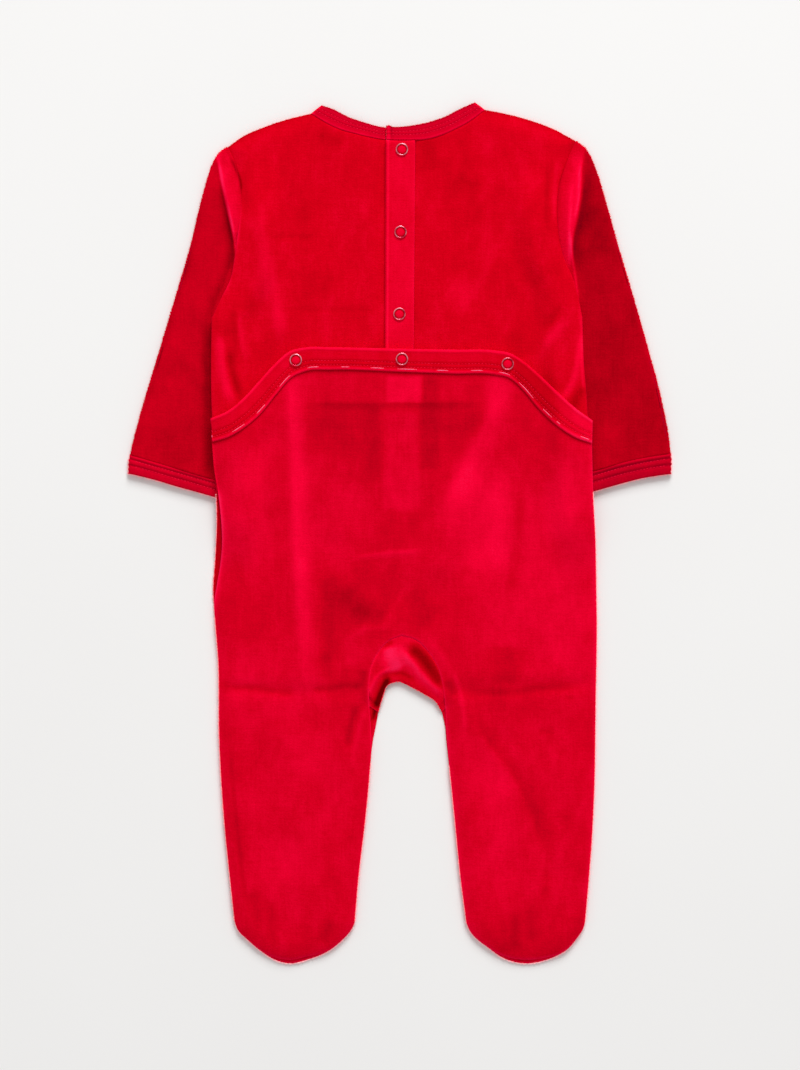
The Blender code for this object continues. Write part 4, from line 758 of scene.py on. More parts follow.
# Outer edges towards which a panel rolls down.
BACK_EDGES = [
    along(SHOULDER_LEFT, even(40)), along(SHOULDER_RIGHT, even(40)), along(NECK_TOP, even(60)),
    edge_points(ARMHOLE_LEFT, np.linspace(ARMHOLE_LEFT[-1][0], ARMHOLE_LEFT[0][0], 50)),
    edge_points(ARMHOLE_RIGHT, np.linspace(ARMHOLE_RIGHT[-1][0], ARMHOLE_RIGHT[0][0], 50)),
    edge_points(SIDE_LEFT, np.linspace(50.0, SIDE_LEFT[0][0], 30)),
    edge_points(SIDE_RIGHT, np.linspace(50.0, SIDE_RIGHT[0][0], 30)),
]
SEAT_EDGES = [
    seat_edge_left(np.linspace(-279.5, 82.0, 120)), seat_edge_right(np.linspace(-279.5, 80.6, 120)),
    edge_points(SEAT_INNER_LEFT, np.linspace(-280.5, -124.6, 50)),
    edge_points(SEAT_INNER_RIGHT, np.linspace(-281.0, -126.0, 50)),
    along(sole_toe(TOE_LEFT), even(50)), along(sole_toe(TOE_RIGHT), even(50)),
]


# ------------------------------------------------------------------ heights
def lift(x, y):
    """How far the body is held up by a sleeve: full near its sides, from armhole to wrist."""
    inside = np.minimum(x - body_edge(-1, y), body_edge(1, y) - x)
    across = ramp((LIFT_INNER - inside) / (LIFT_INNER - LIFT_OUTER))
    return BODY_LIFT * across * ramp((LIFT_TOP - y) / LIFT_RISE) * ramp((y - LIFT_FOOT) / LIFT_FALL)


def roll(edges, x, y):
    """0 at an outer edge and 1 from ROLL inwards, a quarter round between."""
    return 1 - (1 - np.clip(distance_to(edges, x, y) / ROLL, 0, 1)) ** 2


def back_level(x, y):
    """Upper face of the upper back without its folds."""
    return lift(x, y) + 2 * WALL + LAYER_GAP + BACK_LOFT * roll(BACK_EDGES, x, y)


def back_surface(x, y):
    """Upper face of the upper back, and its tone: the folds fade beside the snap band and the seat."""
    inside = roll(BACK_EDGES, x, y)
    crease, tone = creased(BACK_CREASES, x, y)
    calm = grow(np.abs(x), CALM_BAND) * grow(y, CALM_HEM)
    height = lift(x, y) + 2 * WALL + LAYER_GAP + BACK_LOFT * inside
    height += folded(BACK_FOLDS, x, y) * inside**2 * calm
    height += (crease + ripple(x, y)) * inside * np.maximum(calm, BACK_CREASE_LEAST)
    return height, tone


def underlap_dip(x):
    """The left half goes down under the snap band."""
    return (WALL + SEAM) * grow(x, (UNDERLAP_START, UNDERLAP_FOOT))


def overlap(x, y):
    """1 where the seat lies over the upper back, falling to 0 below the back's hem."""
    level = y - at_x(BACK_HEM, x)[..., 1] + at_x(BACK_HEM, 0.0)[1]
    return HEM_STEP * grow(level, STEP_HEIGHTS) + (1 - HEM_STEP) * grow(level, SLOPE_HEIGHTS)


def seat_surface(x, y):
    """Upper face of the drop seat and the backs of the legs, and its tone."""
    inside = roll(SEAT_EDGES, x, y)
    over = overlap(x, y)
    rise = over * (OVERLAP_EDGE + (OVERLAP_MIDDLE - OVERLAP_EDGE) * inside)
    arch_x, arch_y, radius, height = ARCH
    arch = height * np.exp(-((x - arch_x) ** 2 + (y - arch_y) ** 2) / radius**2)
    folds = folded(SEAT_FOLDS, x, y) * inside * ramp(1 - over)
    crease, tone = creased(SEAT_CREASES, x, y)
    top = lift(x, y) + 2 * WALL + LAYER_GAP + (SEAT_LOFT + arch) * inside + rise + folds
    start, end, dark, darker = FEET_DARK
    tone = tone + pressed(SEAT_PATCHES, x, y) + (dark + darker * (x > 0)) * grow(-y, (-start, -end))
    return top + (crease * np.maximum(1 - over, SEAT_CREASE_LEAST) + ripple(x, y)) * inside, tone


# ------------------------------------------------------------------ walls of cloth
class Plan:
    """A sheet's plan: points on the table and the faces between them, from one or more grids.

    A grid's rows run down the garment and its columns towards +X. Points that grids share are
    merged. Values that a grid carries after x and y are kept in `given`.
    """

    def __init__(self, *grids):
        points, faces, used = [], [], 0
        for grid in grids:
            rows, columns = grid.shape[:2]
            number = np.arange(rows * columns).reshape(rows, columns) + used
            corners = number[1:, :-1], number[1:, 1:], number[:-1, 1:], number[:-1, :-1]
            faces.append(np.stack(corners, -1).reshape(-1, 4))
            points.append(grid.reshape(-1, grid.shape[-1]))
            used += rows * columns
        points, faces = np.concatenate(points), np.concatenate(faces)
        _, first, same = np.unique(
            np.round(points[:, :2], 3), axis=0, return_index=True, return_inverse=True
        )
        self.points, self.faces = points[first, :2], same.reshape(-1)[faces]
        self.x, self.y = self.points.T
        self.given = points[first, 2:].T

    def rim(self):
        """The edges that only one face has, in that face's order."""
        edges = np.concatenate([self.faces[:, [k, (k + 1) % 4]] for k in range(4)])
        _, index, count = np.unique(
            np.sort(edges, axis=1), axis=0, return_inverse=True, return_counts=True
        )
        return edges[count[index.reshape(-1)] == 1]


def wall(plan, top, bottom, tone, painted_rim_sheen=RIM_PAINTED_SHEEN):
    """Points, faces and tone of the closed wall between two heights over a plan.

    At the rim its faces close in by RIM_TURN of the half wall, and a ring at the middle height
    stands out along the rim's own outward direction by RIM_BULGE. Where the pile stands up there, a
    painted sheen highlight makes its tone lighter by the last argument.
    """
    size, edge = len(plan.points), plan.rim()
    rim = np.unique(edge)
    step = plan.points[edge[:, 1]] - plan.points[edge[:, 0]]
    way = np.zeros((size, 2))
    for end in (0, 1):
        np.add.at(way, edge[:, end], np.stack([step[:, 1], -step[:, 0]], axis=-1))
    way = way[rim] / np.maximum(np.linalg.norm(way[rim], axis=1, keepdims=True), 1e-9)
    top, bottom = top.copy(), bottom.copy()
    half = 0.5 * (top - bottom)[rim]
    top[rim] -= RIM_TURN * half
    bottom[rim] += RIM_TURN * half
    middle = np.column_stack([plan.points[rim] + RIM_BULGE * way, 0.5 * (top + bottom)[rim]])
    points = np.concatenate(
        [np.column_stack([plan.points, top]), np.column_stack([plan.points, bottom]), middle]
    )
    ring = np.zeros(size, int)
    ring[rim] = 2 * size + np.arange(len(rim))
    a, b = edge.T
    upper = np.column_stack([b, a, ring[a], ring[b]])
    lower = np.column_stack([ring[b], ring[a], a + size, b + size])
    faces = np.concatenate([plan.faces, plan.faces[:, ::-1] + size, upper, lower])
    tone = np.asarray(tone, float).copy()
    # painted sheen highlight along the rim
    tone[rim] += painted_rim_sheen
    return points, faces, np.concatenate([tone, tone, tone[rim]])


def open_tube(outer, inner):
    """Points and faces of a tube with a wall, open at both ends, from rows of rings."""
    rows, count = outer.shape[:2]
    number = np.arange(rows * count).reshape(rows, count)
    here, there = number, np.roll(number, -1, axis=1)
    skin = np.stack([here[:-1], here[1:], there[1:], there[:-1]], -1).reshape(-1, 4)
    inside = number.size
    start = np.stack([here[0], there[0], there[0] + inside, here[0] + inside], -1)
    end = np.stack([here[-1], here[-1] + inside, there[-1] + inside, there[-1]], -1)
    points = np.concatenate([outer.reshape(-1, 3), inner.reshape(-1, 3)])
    return points, np.concatenate([skin, skin[:, ::-1] + inside, start, end])


def flat_tube(grid, top, bottom, middle):
    """Rings of a flattened tube over a plan grid, whose first and last columns are its side edges.

    top and bottom are the heights of its outer faces. Each side is a half round about the height
    `middle`: from the edge it goes in by 1 - cos of the turn and up or down by its sine.
    """
    turns = np.linspace(0.0, 0.5 * np.pi, TUBE_TURNS)
    rings = []
    for inset in (0.0, WALL):
        over, under = [], []
        for column, inward in ((0, 1), (-1, -2)):
            way = grid[:, inward] - grid[:, column]
            way /= np.linalg.norm(way, axis=1, keepdims=True)
            high, low = top[:, column] - middle, middle - bottom[:, column]
            for turn in turns:
                in_over = high - (high - inset) * np.cos(turn)
                in_under = low - (low - inset) * np.cos(turn)
                up = middle + (high - inset) * np.sin(turn)
                down = middle - (low - inset) * np.sin(turn)
                over.append(np.column_stack([grid[:, column] + way * in_over[:, None], up]))
                under.append(np.column_stack([grid[:, column] + way * in_under[:, None], down]))
        flat_over = np.dstack([grid[:, 2:-2], top[:, 2:-2] - inset]).transpose(1, 0, 2)
        flat_under = np.dstack([grid[:, 2:-2], bottom[:, 2:-2] + inset]).transpose(1, 0, 2)
        n = TUBE_TURNS
        upper = [*over[:n], *flat_over, *over[: n - 1 : -1]]
        lower = [*under[n + 1 :], *flat_under[::-1], *under[n - 1 : 0 : -1]]
        rings.append(np.stack(upper + lower, axis=1))
    return open_tube(*rings)


def mesh_object(name, points, faces, material, tone=None):
    """One closed mesh in metres, made an object; tone is kept on its points, for the nap
    and for painted light and shade.
    """
    mesh = bpy.data.meshes.new(name)
    mesh.vertices.add(len(points))
    mesh.vertices.foreach_set("co", (np.asarray(points) * MM).astype(np.float32).ravel())
    mesh.loops.add(faces.size)
    mesh.loops.foreach_set("vertex_index", faces.astype(np.int32).ravel())
    mesh.polygons.add(len(faces))
    mesh.polygons.foreach_set("loop_start", np.arange(0, faces.size, faces.shape[1], dtype=np.int32))
    mesh.update(calc_edges=True)
    mesh.validate()
    mesh.shade_smooth()
    if tone is not None:
        nap_and_shade = mesh.attributes.new("nap_and_shade", "FLOAT", "POINT")
        nap_and_shade.data.foreach_set("value", np.asarray(tone, np.float32))
    mesh.materials.append(material)
    made = bpy.data.objects.new(name, mesh)
    bpy.context.scene.collection.objects.link(made)
    return made


def trimming(name, points, faces, material, tone=None):
    """A small piece that goes with a cloth one: thread, pile or the cloth in a snap."""
    made = mesh_object(name, points, faces, material, tone)
    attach(made, "root")
    return made


def dress(name, points, faces, tone, material, node, sewn_on=()):
    """A cloth piece in its solid's place: its mesh rides the root, and the solid is hidden."""
    made = mesh_object(name, points, faces, material, tone)
    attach(made, "root")
    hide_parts(node)
    return made


# ------------------------------------------------------------------ materials
# Colours of the pile by its tone, which holds how much light its nap returns and painted light
# and shade: from a painted deep shadow to the painted sheen of a brushed edge.
PILE_STOPS = [
    (0.0, (0.15, 0.0, 0.0006)), (0.25, (0.40, 0.0, 0.003)), (0.5, (0.66, 0.0, 0.009)),
    (0.75, (0.93, 0.001, 0.032)), (1.0, (1.0, 0.01, 0.075)),
]
PILE_GAIN = 0.25      # change of place on that scale for one unit of tone
BROAD_MOTTLE = (46.0, 34.0, 46.0)       # waves a metre of the broad brushed places
BRUSHED = (125.0, 70.0, 125.0)          # of the brushed streaks in them
PILE_GRAIN = 800.0                      # of the pile's grain ...
PILE_TUFTS = 1700.0                     # ... and of its single tufts
WALES = (950.0, 55.0, 200.0)            # of the knitted ground's columns and rows that show
COURSES = (50.0, 800.0, 200.0)
SHEEN_TINT = (1.0, 0.005, 0.10, 1.0)
# Colours of the pile's tips by their tone: the pale end is painted light, for backlit pile.
TIP_STOPS = [(0.0, (0.75, 0.0, 0.012)), (0.45, (1.0, 0.015, 0.06)), (1.0, (1.0, 0.56, 0.60))]
TIP_PAINTED_GLOW = 0.22                 # painted glow: the tips give off light, for light that comes through them
RING_PAINTED_REFLECTIONS = (0.62, 0.02, 0.07), (1.0, 0.36, 0.46)            # painted reflections: the red pile's crimson and pale glints
TABLE_COLOURS = (0.875, 0.868, 0.86), (0.885, 0.88, 0.872)

# Pile that stands off an edge.
FUZZ_GAP = 0.3                  # mm from one tip to the next
FUZZ_LENGTH = (0.45, 1.1)
FUZZ_WIDTH = 0.16
FUZZ_RISE = (-0.3, 0.9)         # radians above the table
FUZZ_SPREAD = 0.5               # and to either side
FUZZ_ROOT = (-0.35, 0.45)       # its roots stand this far below and above the line, in mm
FUZZ_TONES = (-0.1, -0.1, -0.1, 0.2)    # at a spike's three feet and its tip
NECK_FUZZ_DROP = 0.7            # its line lies this far below the upper face of the binding ...
STRIP_FUZZ_DROP = 0.5           # ... of the seat's strip ...
GUSSET_FUZZ_DROP = 0.6          # ... and of the gusset
HEM_FUZZ_HEIGHT = 1.6
# On the seat: which of its edges, from height to height, and how pale, which sets a painted glow.
SEAT_FUZZ = [(0, -60, -300, 0.8), (1, 30, -300, 0.8), (2, -165, -300, 0.8), (3, -165, -300, 0.8)]
FRONT_FUZZ = (-210.0, 28.0)     # on the front: from height to height


def new_node(tree, kind, **settings):
    """A shader node with its settings; a setting whose name is a socket's goes on that socket."""
    node = tree.nodes.new("ShaderNode" + kind)
    for key, value in settings.items():
        if hasattr(node, key):
            setattr(node, key, value)
        else:
            node.inputs[key.replace("_", " ")].default_value = value
    return node


def new_material(name, **sockets):
    """A material, its nodes and its shader, with these values on the shader's own sockets."""
    material = bpy.data.materials.new(name)
    material.use_nodes = True
    shader = material.node_tree.nodes["Principled BSDF"]
    for key, value in sockets.items():
        shader.inputs[key.replace("_", " ")].default_value = value
    return material, material.node_tree, shader


def colour_ramp(tree, value, rows):
    """The colour at this value on a scale whose rows are place and colour."""
    node = new_node(tree, "ValToRGB")
    stops = node.color_ramp.elements
    while len(stops) < len(rows):
        stops.new(0.5)
    for stop, (place, colour) in zip(stops, rows):
        stop.position = place
        stop.color = (*colour, 1.0)
    tree.links.new(value, node.inputs["Fac"])
    return node.outputs["Color"]


def pile_group():
    """Node group: velour's colour and pile height from its nap and painted light and shade, a tone for
    the whole piece, mottle and a painted pink sheen.
    """
    tree = bpy.data.node_groups.new("velour pile", "ShaderNodeTree")
    for name, kind, start in (
        ("Nap and Shade", "NodeSocketFloat", 0.0), ("Tone", "NodeSocketFloat", 0.0),
        ("Mottle", "NodeSocketFloat", 1.0), ("Shift", "NodeSocketVector", (0.0, 0.0, 0.0)),
        ("Painted Pink Sheen", "NodeSocketFloat", 0.0),
    ):
        tree.interface.new_socket(name, in_out="INPUT", socket_type=kind).default_value = start
    tree.interface.new_socket("Colour", in_out="OUTPUT", socket_type="NodeSocketColor")
    tree.interface.new_socket("Pile", in_out="OUTPUT", socket_type="NodeSocketFloat")
    link = tree.links.new
    given, out = tree.nodes.new("NodeGroupInput"), tree.nodes.new("NodeGroupOutput")
    place = new_node(tree, "TexCoord")
    moved = new_node(tree, "VectorMath", operation="ADD")
    link(place.outputs["Object"], moved.inputs[0])
    link(given.outputs["Shift"], moved.inputs[1])

    def cloud(scale, detail, roughness, stretch=(1.0, 1.0, 1.0)):
        """Noise about 0: its value less one half."""
        mapping = new_node(tree, "Mapping")
        mapping.inputs["Scale"].default_value = stretch
        noise = new_node(tree, "TexNoise", Scale=scale, Detail=detail, Roughness=roughness)
        centred = new_node(tree, "Math", operation="SUBTRACT")
        centred.inputs[1].default_value = 0.5
        link(moved.outputs[0], mapping.inputs["Vector"])
        link(mapping.outputs[0], noise.inputs["Vector"])
        link(noise.outputs["Fac"], centred.inputs[0])
        return centred.outputs[0]

    def scaled(value, factor, add=None):
        """value * factor + add."""
        node = new_node(tree, "Math", operation="MULTIPLY_ADD")
        link(value, node.inputs[0])
        if hasattr(factor, "links"):
            link(factor, node.inputs[1])
        else:
            node.inputs[1].default_value = factor
        if add is None:
            node.inputs[2].default_value = 0.0
        elif hasattr(add, "links"):
            link(add, node.inputs[2])
        else:
            node.inputs[2].default_value = add
        return node.outputs[0]

    broad = cloud(1.0, 3.0, 0.55, BROAD_MOTTLE)
    patches = cloud(1.0, 4.0, 0.6, BRUSHED)
    grain = cloud(PILE_GRAIN, 2.0, 0.6)
    tuft = cloud(PILE_TUFTS, 1.0, 0.5)
    wales = cloud(1.0, 2.0, 0.5, WALES)
    courses = cloud(1.0, 2.0, 0.5, COURSES)
    mottle = scaled(broad, 0.9, scaled(patches, 0.85, scaled(grain, 0.8)))
    mottle = scaled(wales, 0.4, scaled(courses, 0.35, mottle))
    tone = scaled(given.outputs["Nap and Shade"], 1.0, given.outputs["Tone"])
    tone = scaled(mottle, given.outputs["Mottle"], tone)
    colour = colour_ramp(tree, scaled(tone, PILE_GAIN, 0.5), PILE_STOPS)
    # painted pink sheen: blue added to the colour
    painted_pink_sheen = new_node(tree, "CombineXYZ")
    lit = new_node(tree, "VectorMath", operation="ADD")
    link(given.outputs["Painted Pink Sheen"], painted_pink_sheen.inputs["Z"])
    link(colour, lit.inputs[0])
    link(painted_pink_sheen.outputs[0], lit.inputs[1])
    link(lit.outputs[0], out.inputs["Colour"])
    link(scaled(grain, 1.0, scaled(tuft, 0.7)), out.inputs["Pile"])
    return tree


def velour(name, tone=0.0, mottle=1.0, shift=(0.0, 0.0, 0.0), painted_pink_sheen=0.0):
    """Cotton velour: a matt pile with a tinted sheen, its colour from the tone on its points,
    which holds its nap and painted light and shade.
    """
    material, tree, shader = new_material(
        name, Roughness=0.9, Specular_IOR_Level=0.0, Sheen_Weight=0.3, Sheen_Roughness=0.45,
        Sheen_Tint=SHEEN_TINT,
    )
    # tone on the points: the nap, and painted light and shade
    nap_and_shade = new_node(tree, "Attribute", attribute_name="nap_and_shade")
    pile = tree.nodes.new("ShaderNodeGroup")
    pile.node_tree = bpy.data.node_groups.get("velour pile") or pile_group()
    pile.inputs["Tone"].default_value = tone
    pile.inputs["Mottle"].default_value = mottle
    pile.inputs["Shift"].default_value = shift
    # a painted pink sheen, added to the colour
    pile.inputs["Painted Pink Sheen"].default_value = painted_pink_sheen
    bump = new_node(tree, "Bump", Strength=0.5, Distance=0.0004)
    tree.links.new(nap_and_shade.outputs["Fac"], pile.inputs["Nap and Shade"])
    tree.links.new(pile.outputs["Colour"], shader.inputs["Base Color"])
    tree.links.new(pile.outputs["Pile"], bump.inputs["Height"])
    tree.links.new(bump.outputs["Normal"], shader.inputs["Normal"])
    return material


def pile_tips():
    """The ends of the pile along an edge: red at their feet and pale at their tips by their tone,
    with a painted glow of backlit pile.
    """
    material, tree, shader = new_material(
        "pile tips", Roughness=0.9, Specular_IOR_Level=0.0, Emission_Strength=TIP_PAINTED_GLOW
    )
    nap_and_shade = new_node(tree, "Attribute", attribute_name="nap_and_shade")
    colour = colour_ramp(tree, nap_and_shade.outputs["Fac"], TIP_STOPS)
    tree.links.new(colour, shader.inputs["Base Color"])
    tree.links.new(colour, shader.inputs["Emission Color"])
    return material


def plain_noise_colour(tree, scale, low, high):
    """A colour that wanders between two, by noise on Object coordinates."""
    place = new_node(tree, "TexCoord")
    noise = new_node(tree, "TexNoise", Scale=scale, Detail=3.0)
    tree.links.new(place.outputs["Object"], noise.inputs["Vector"])
    return noise.outputs["Fac"], colour_ramp(tree, noise.outputs["Fac"], [(0.35, low), (0.65, high)])


def thread(name, low, high):
    """Sewing thread: two near shades, with the twist of its strands as a fine bump."""
    material, tree, shader = new_material(name, Roughness=0.7, Specular_IOR_Level=0.02)
    fac, colour = plain_noise_colour(tree, 900.0, low, high)
    bump = new_node(tree, "Bump", Strength=0.4, Distance=0.0002)
    tree.links.new(fac, bump.inputs["Height"])
    tree.links.new(bump.outputs["Normal"], shader.inputs["Normal"])
    tree.links.new(colour, shader.inputs["Base Color"])
    return material


def ring_metal():
    """Snap ring: polished metal whose gloss changes a little, coloured by noise with painted
    reflections of the red pile and pale painted glints.
    """
    material, tree, shader = new_material(
        "ring metal", Metallic=0.75, Specular_IOR_Level=0.15, Specular_Tint=(1.0, 0.35, 0.4, 1.0)
    )
    fac, colour = plain_noise_colour(tree, 210.0, *RING_PAINTED_REFLECTIONS)
    rough = new_node(tree, "MapRange", To_Min=0.14, To_Max=0.3)
    tree.links.new(fac, rough.inputs["Value"])
    tree.links.new(rough.outputs["Result"], shader.inputs["Roughness"])
    tree.links.new(colour, shader.inputs["Base Color"])
    return material


# ------------------------------------------------------------------ sewing
def swept(lines, radius, sizes, sink):
    """Six-sided tubes along lines of points, one for each, all with as many points, as one mesh.

    A ring of points stands across each line at each of its points, its radius times that point's
    share in `sizes`, and `sink` times one less that share lower; both ends are closed.
    """
    sides = THREAD_SIDES
    lines, sizes = np.asarray(lines, float), np.asarray(sizes, float)
    way = np.gradient(lines, axis=1)
    way /= np.linalg.norm(way, axis=-1, keepdims=True)
    side = np.cross(np.array([0.0, 0.0, 1.0]), way)
    side /= np.linalg.norm(side, axis=-1, keepdims=True)
    up = np.cross(way, side)
    turns = 2 * np.pi * np.arange(sides) / sides
    across = np.cos(turns)[:, None] * side[..., None, :] + np.sin(turns)[:, None] * up[..., None, :]
    points = lines[:, :, None] + radius * sizes[:, None, None] * across
    points[..., 2] -= sink * (1 - sizes)[:, None]
    stations = lines.shape[1]
    number = np.arange(stations * sides).reshape(stations, sides)
    turned = np.roll(number, -1, axis=1)
    skin = np.stack([number[:-1], turned[:-1], turned[1:], number[1:]], -1).reshape(-1, 4)
    cap = np.array([[0, 1, 2, 3], [0, 3, 4, 5]])
    one = np.concatenate([skin, cap[:, ::-1], cap + number[-1, 0]])
    shift = np.arange(len(lines))[:, None, None] * number.size
    return points.reshape(-1, 3), (one[None] + shift).reshape(-1, 4)


def piece_of(line, starts, ends, count):
    """Stretches of a line of points, from each start to its end in mm along it, as `count` points."""
    run = lengths(line)
    at = np.asarray(starts)[:, None] + even(count - 1) * (np.asarray(ends) - starts)[:, None]
    return np.stack([np.interp(at, run, line[:, k]) for k in range(3)], axis=-1)


def sew(name, lines, material):
    """Rows of stitches: on each line, threads of one length at one pitch, their ends sunk in the pile."""
    stitches = []
    for line in lines:
        total = lengths(line)[-1]
        count = int(total // STITCH_PITCH)
        start = (np.arange(count) + 0.5) * total / count - 0.5 * STITCH_LENGTH
        stitches.append(piece_of(line, start, start + STITCH_LENGTH, len(STITCH_SIZES)))
    points, faces = swept(np.concatenate(stitches), THREAD, STITCH_SIZES, STITCH_SINK)
    return trimming(name, points, faces, material)


def facing_out(line, inside):
    """The line turned so that its left is away from a point on the cloth's inner side."""
    way = offset_line(line, 1.0) - line
    return line if (way * (line - np.asarray(inside, float))).sum() > 0 else line[::-1]


def fuzz(name, seed, pale, edges):
    """Pile that stands off edges: three-sided spikes at random places along them.

    Each edge is a line of points with the open side on its left, and its height or heights. The
    spikes turn at random about the outward direction, and are lighter at their tips, a painted
    glow of backlit pile. The paler they are, the closer they stand and the wider and longer each is.
    """
    rng = np.random.default_rng(seed)
    spikes = []
    for line, height in edges:
        run = lengths(line)
        at = np.sort(rng.uniform(0.0, run[-1], int(run[-1] / FUZZ_GAP * (1 + pale))))
        out = offset_line(line, 1.0) - line
        heights = np.broadcast_to(height, len(line))
        x, y, z, u, v = (np.interp(at, run, column) for column in (*line.T, heights, *out.T))
        turn = np.arctan2(v, u) + rng.normal(0.0, FUZZ_SPREAD, len(at))
        rise = rng.uniform(*FUZZ_RISE, len(at))
        way = np.stack([np.cos(turn) * np.cos(rise), np.sin(turn) * np.cos(rise), np.sin(rise)], -1)
        aside = np.stack([-np.sin(turn), np.cos(turn), 0 * turn], -1)
        up = np.cross(way, aside)
        root = np.stack([x, y, z + rng.uniform(*FUZZ_ROOT, len(at))], -1)
        foot = [
            root + (1 + pale) * FUZZ_WIDTH * (np.cos(angle) * aside + np.sin(angle) * up)
            for angle in 2 * np.pi * np.arange(3) / 3
        ]
        tip = root + (1 + 0.25 * pale) * rng.uniform(*FUZZ_LENGTH, len(at))[:, None] * way
        spikes.append(np.stack([*foot, tip], axis=1))
    spikes = np.concatenate(spikes)
    one = np.array([[0, 2, 1], [0, 1, 3], [1, 2, 3], [2, 0, 3]])
    faces = (one[None] + 4 * np.arange(len(spikes))[:, None, None]).reshape(-1, 3)
    made = trimming(name, spikes.reshape(-1, 3), faces, PILE_TIPS, pale + np.tile(FUZZ_TONES, len(spikes)))
    made.data.shade_flat()
    return made


def edge_tone(lines, plan, tone, reach):
    """Tone along lines: it dies away by e in each `reach` of the distance from them."""
    return tone * np.exp(-distance_to(lines, plan.x, plan.y) / reach)


def row_lines(grid, top, shares, places):
    """Lines for rows of stitches at these places across a strip, just above its upper face."""
    rows = [np.abs(shares - place).argmin() for place in places]
    return [np.column_stack([grid[k], top[k] + ROW_RISE]) for k in rows]


# ------------------------------------------------------------------ cloth pieces
def half_crotch(table, x, left):
    """One half of a crotch curve, from its highest point at x down to its leg."""
    return [p for p in table if p[0] <= x][::-1] if left else [p for p in table if p[0] >= x]


def inner_line(crotch, inner, shares):
    """Points down half a crotch curve and the inner edge of a leg, at shares of its length."""
    below = [(x, height) for height, x in sorted(inner, reverse=True)]
    line = join(along(crotch, even(60)), along(below, even(160)))
    length = lengths(line)
    return np.stack([np.interp(shares * length[-1], length, line[:, k]) for k in (0, 1)], axis=-1)


def legs_and_body(top_line, shares, sides, heights, crotch, crotch_x, inner, ends, leg_rows):
    """Grids of a panel with two legs: a body down to a shallow V, and a leg from each half of it.

    top_line has a point for each column of both halves. sides gives the side edges' points at any
    heights, and heights those of the body's rows at either side.
    """
    half = len(shares) - 1
    mirrored = 1 - shares[::-1]
    apex = at_x(crotch, [crotch_x])[0]
    low = [side(np.array([float(HIP_HEIGHT)]))[0] for side in sides]
    v_lines = between(low[0], apex, shares), between(apex, low[1], mirrored)
    left, right = (side(h) for side, h in zip(sides, heights))
    fall = (left[0, 1] - left[:, 1]) / (left[0, 1] - left[-1, 1])
    across = join(shares / 2, 0.5 + mirrored / 2)
    body = patch(top_line, join(*v_lines), left, right, across, fall, hold=6)
    grids = [body[:, : half + 1], body[:, half:]]
    down = even(leg_rows)
    for k, (v_line, end, side) in enumerate(zip(v_lines, ends, sides)):
        ankle = end[0 if k == 0 else -1][1]
        outer = side(HIP_HEIGHT + down * (ankle - HIP_HEIGHT))
        inside = inner_line(half_crotch(crotch, crotch_x, k == 0), inner[k], down)
        edges = (outer, inside) if k == 0 else (inside, outer)
        grids.append(patch(v_line, end, *edges, (shares, mirrored)[k], down))
    return grids


def front_cloth():
    """Front of the body and legs, in one piece: it lies on the table, with soft hollows under it."""
    shares, shoulder = refine(FRONT_SHARES, FRONT_FINE), refine(FRONT_SHOULDER, FRONT_FINE)
    mirrored = 1 - shares[::-1]
    neck_columns = 2 * (len(shares) - len(shoulder))
    top = join(
        along(SHOULDER_LEFT, shoulder), along(FRONT_NECK, even(neck_columns)),
        along(SHOULDER_RIGHT, 1 - shoulder[::-1]),
    )
    rows = FRONT_ROWS * FRONT_FINE
    heights = [
        join(
            np.linspace(armhole[0][0], armhole[-1][0], rows + 1),
            refine((armhole[-1][0],) + FRONT_HEIGHTS, FRONT_FINE),
        )
        for armhole in (ARMHOLE_LEFT, ARMHOLE_RIGHT)
    ]
    plan = Plan(*legs_and_body(
        top, shares,
        [lambda h: np.stack([body_edge(-1, h), h], -1), lambda h: np.stack([body_edge(1, h), h], -1)],
        heights, FRONT_CROTCH, FRONT_CROTCH_X, [INNER_LEFT, INNER_RIGHT],
        [between(TOE_LEFT[0], TOE_LEFT[-1], shares), between(TOE_RIGHT[0], TOE_RIGHT[-1], mirrored)], rows,
    ))
    # their tone is the nap's, and painted shade under the gusset's fold
    hollow, tone = creased(FRONT_CREASES, plan.x, plan.y)
    base = lift(plan.x, plan.y) + np.maximum(hollow, 0)
    points, faces, tone = wall(plan, base + WALL, base, tone)
    heights = np.linspace(*FRONT_FUZZ, 61)
    side = np.stack([body_edge(-1, heights), heights], axis=-1)
    edge = facing_out(side, (0, 0)), lift(*side.T) + 0.5 * WALL
    hair = fuzz("front_fuzz", seed=1, pale=0.85, edges=[edge])
    dress("front_cloth", points, faces, tone, velour("front velour", shift=(0.3, 0.1, 0)),
          "front_panel", [hair])


def foot_front(name, node, toe):
    """Front of a foot: the half round below the ankle seam."""
    line = along(toe, even(40)) - (0.0, SEAM)
    plan = Plan(patch(between(line[0], line[-1], even(24)), line[8:-8], line[:9], line[:-10:-1]))
    flat = np.zeros(len(plan.x))
    # painted highlight along the toe's edge
    points, faces, tone = wall(plan, flat + WALL, flat, FOOT_TONE + edge_tone([line], plan, *FOOT_EDGE_HIGHLIGHT))
    edge = facing_out(line, line.mean(axis=0) + (0, 20)), 0.5 * WALL
    hair = fuzz(name + "_fuzz", seed=2, pale=1.0, edges=[edge])
    dress(name, points, faces, tone, velour(name + " velour", shift=(0.2, 0.7, 0)),
          node, [hair])


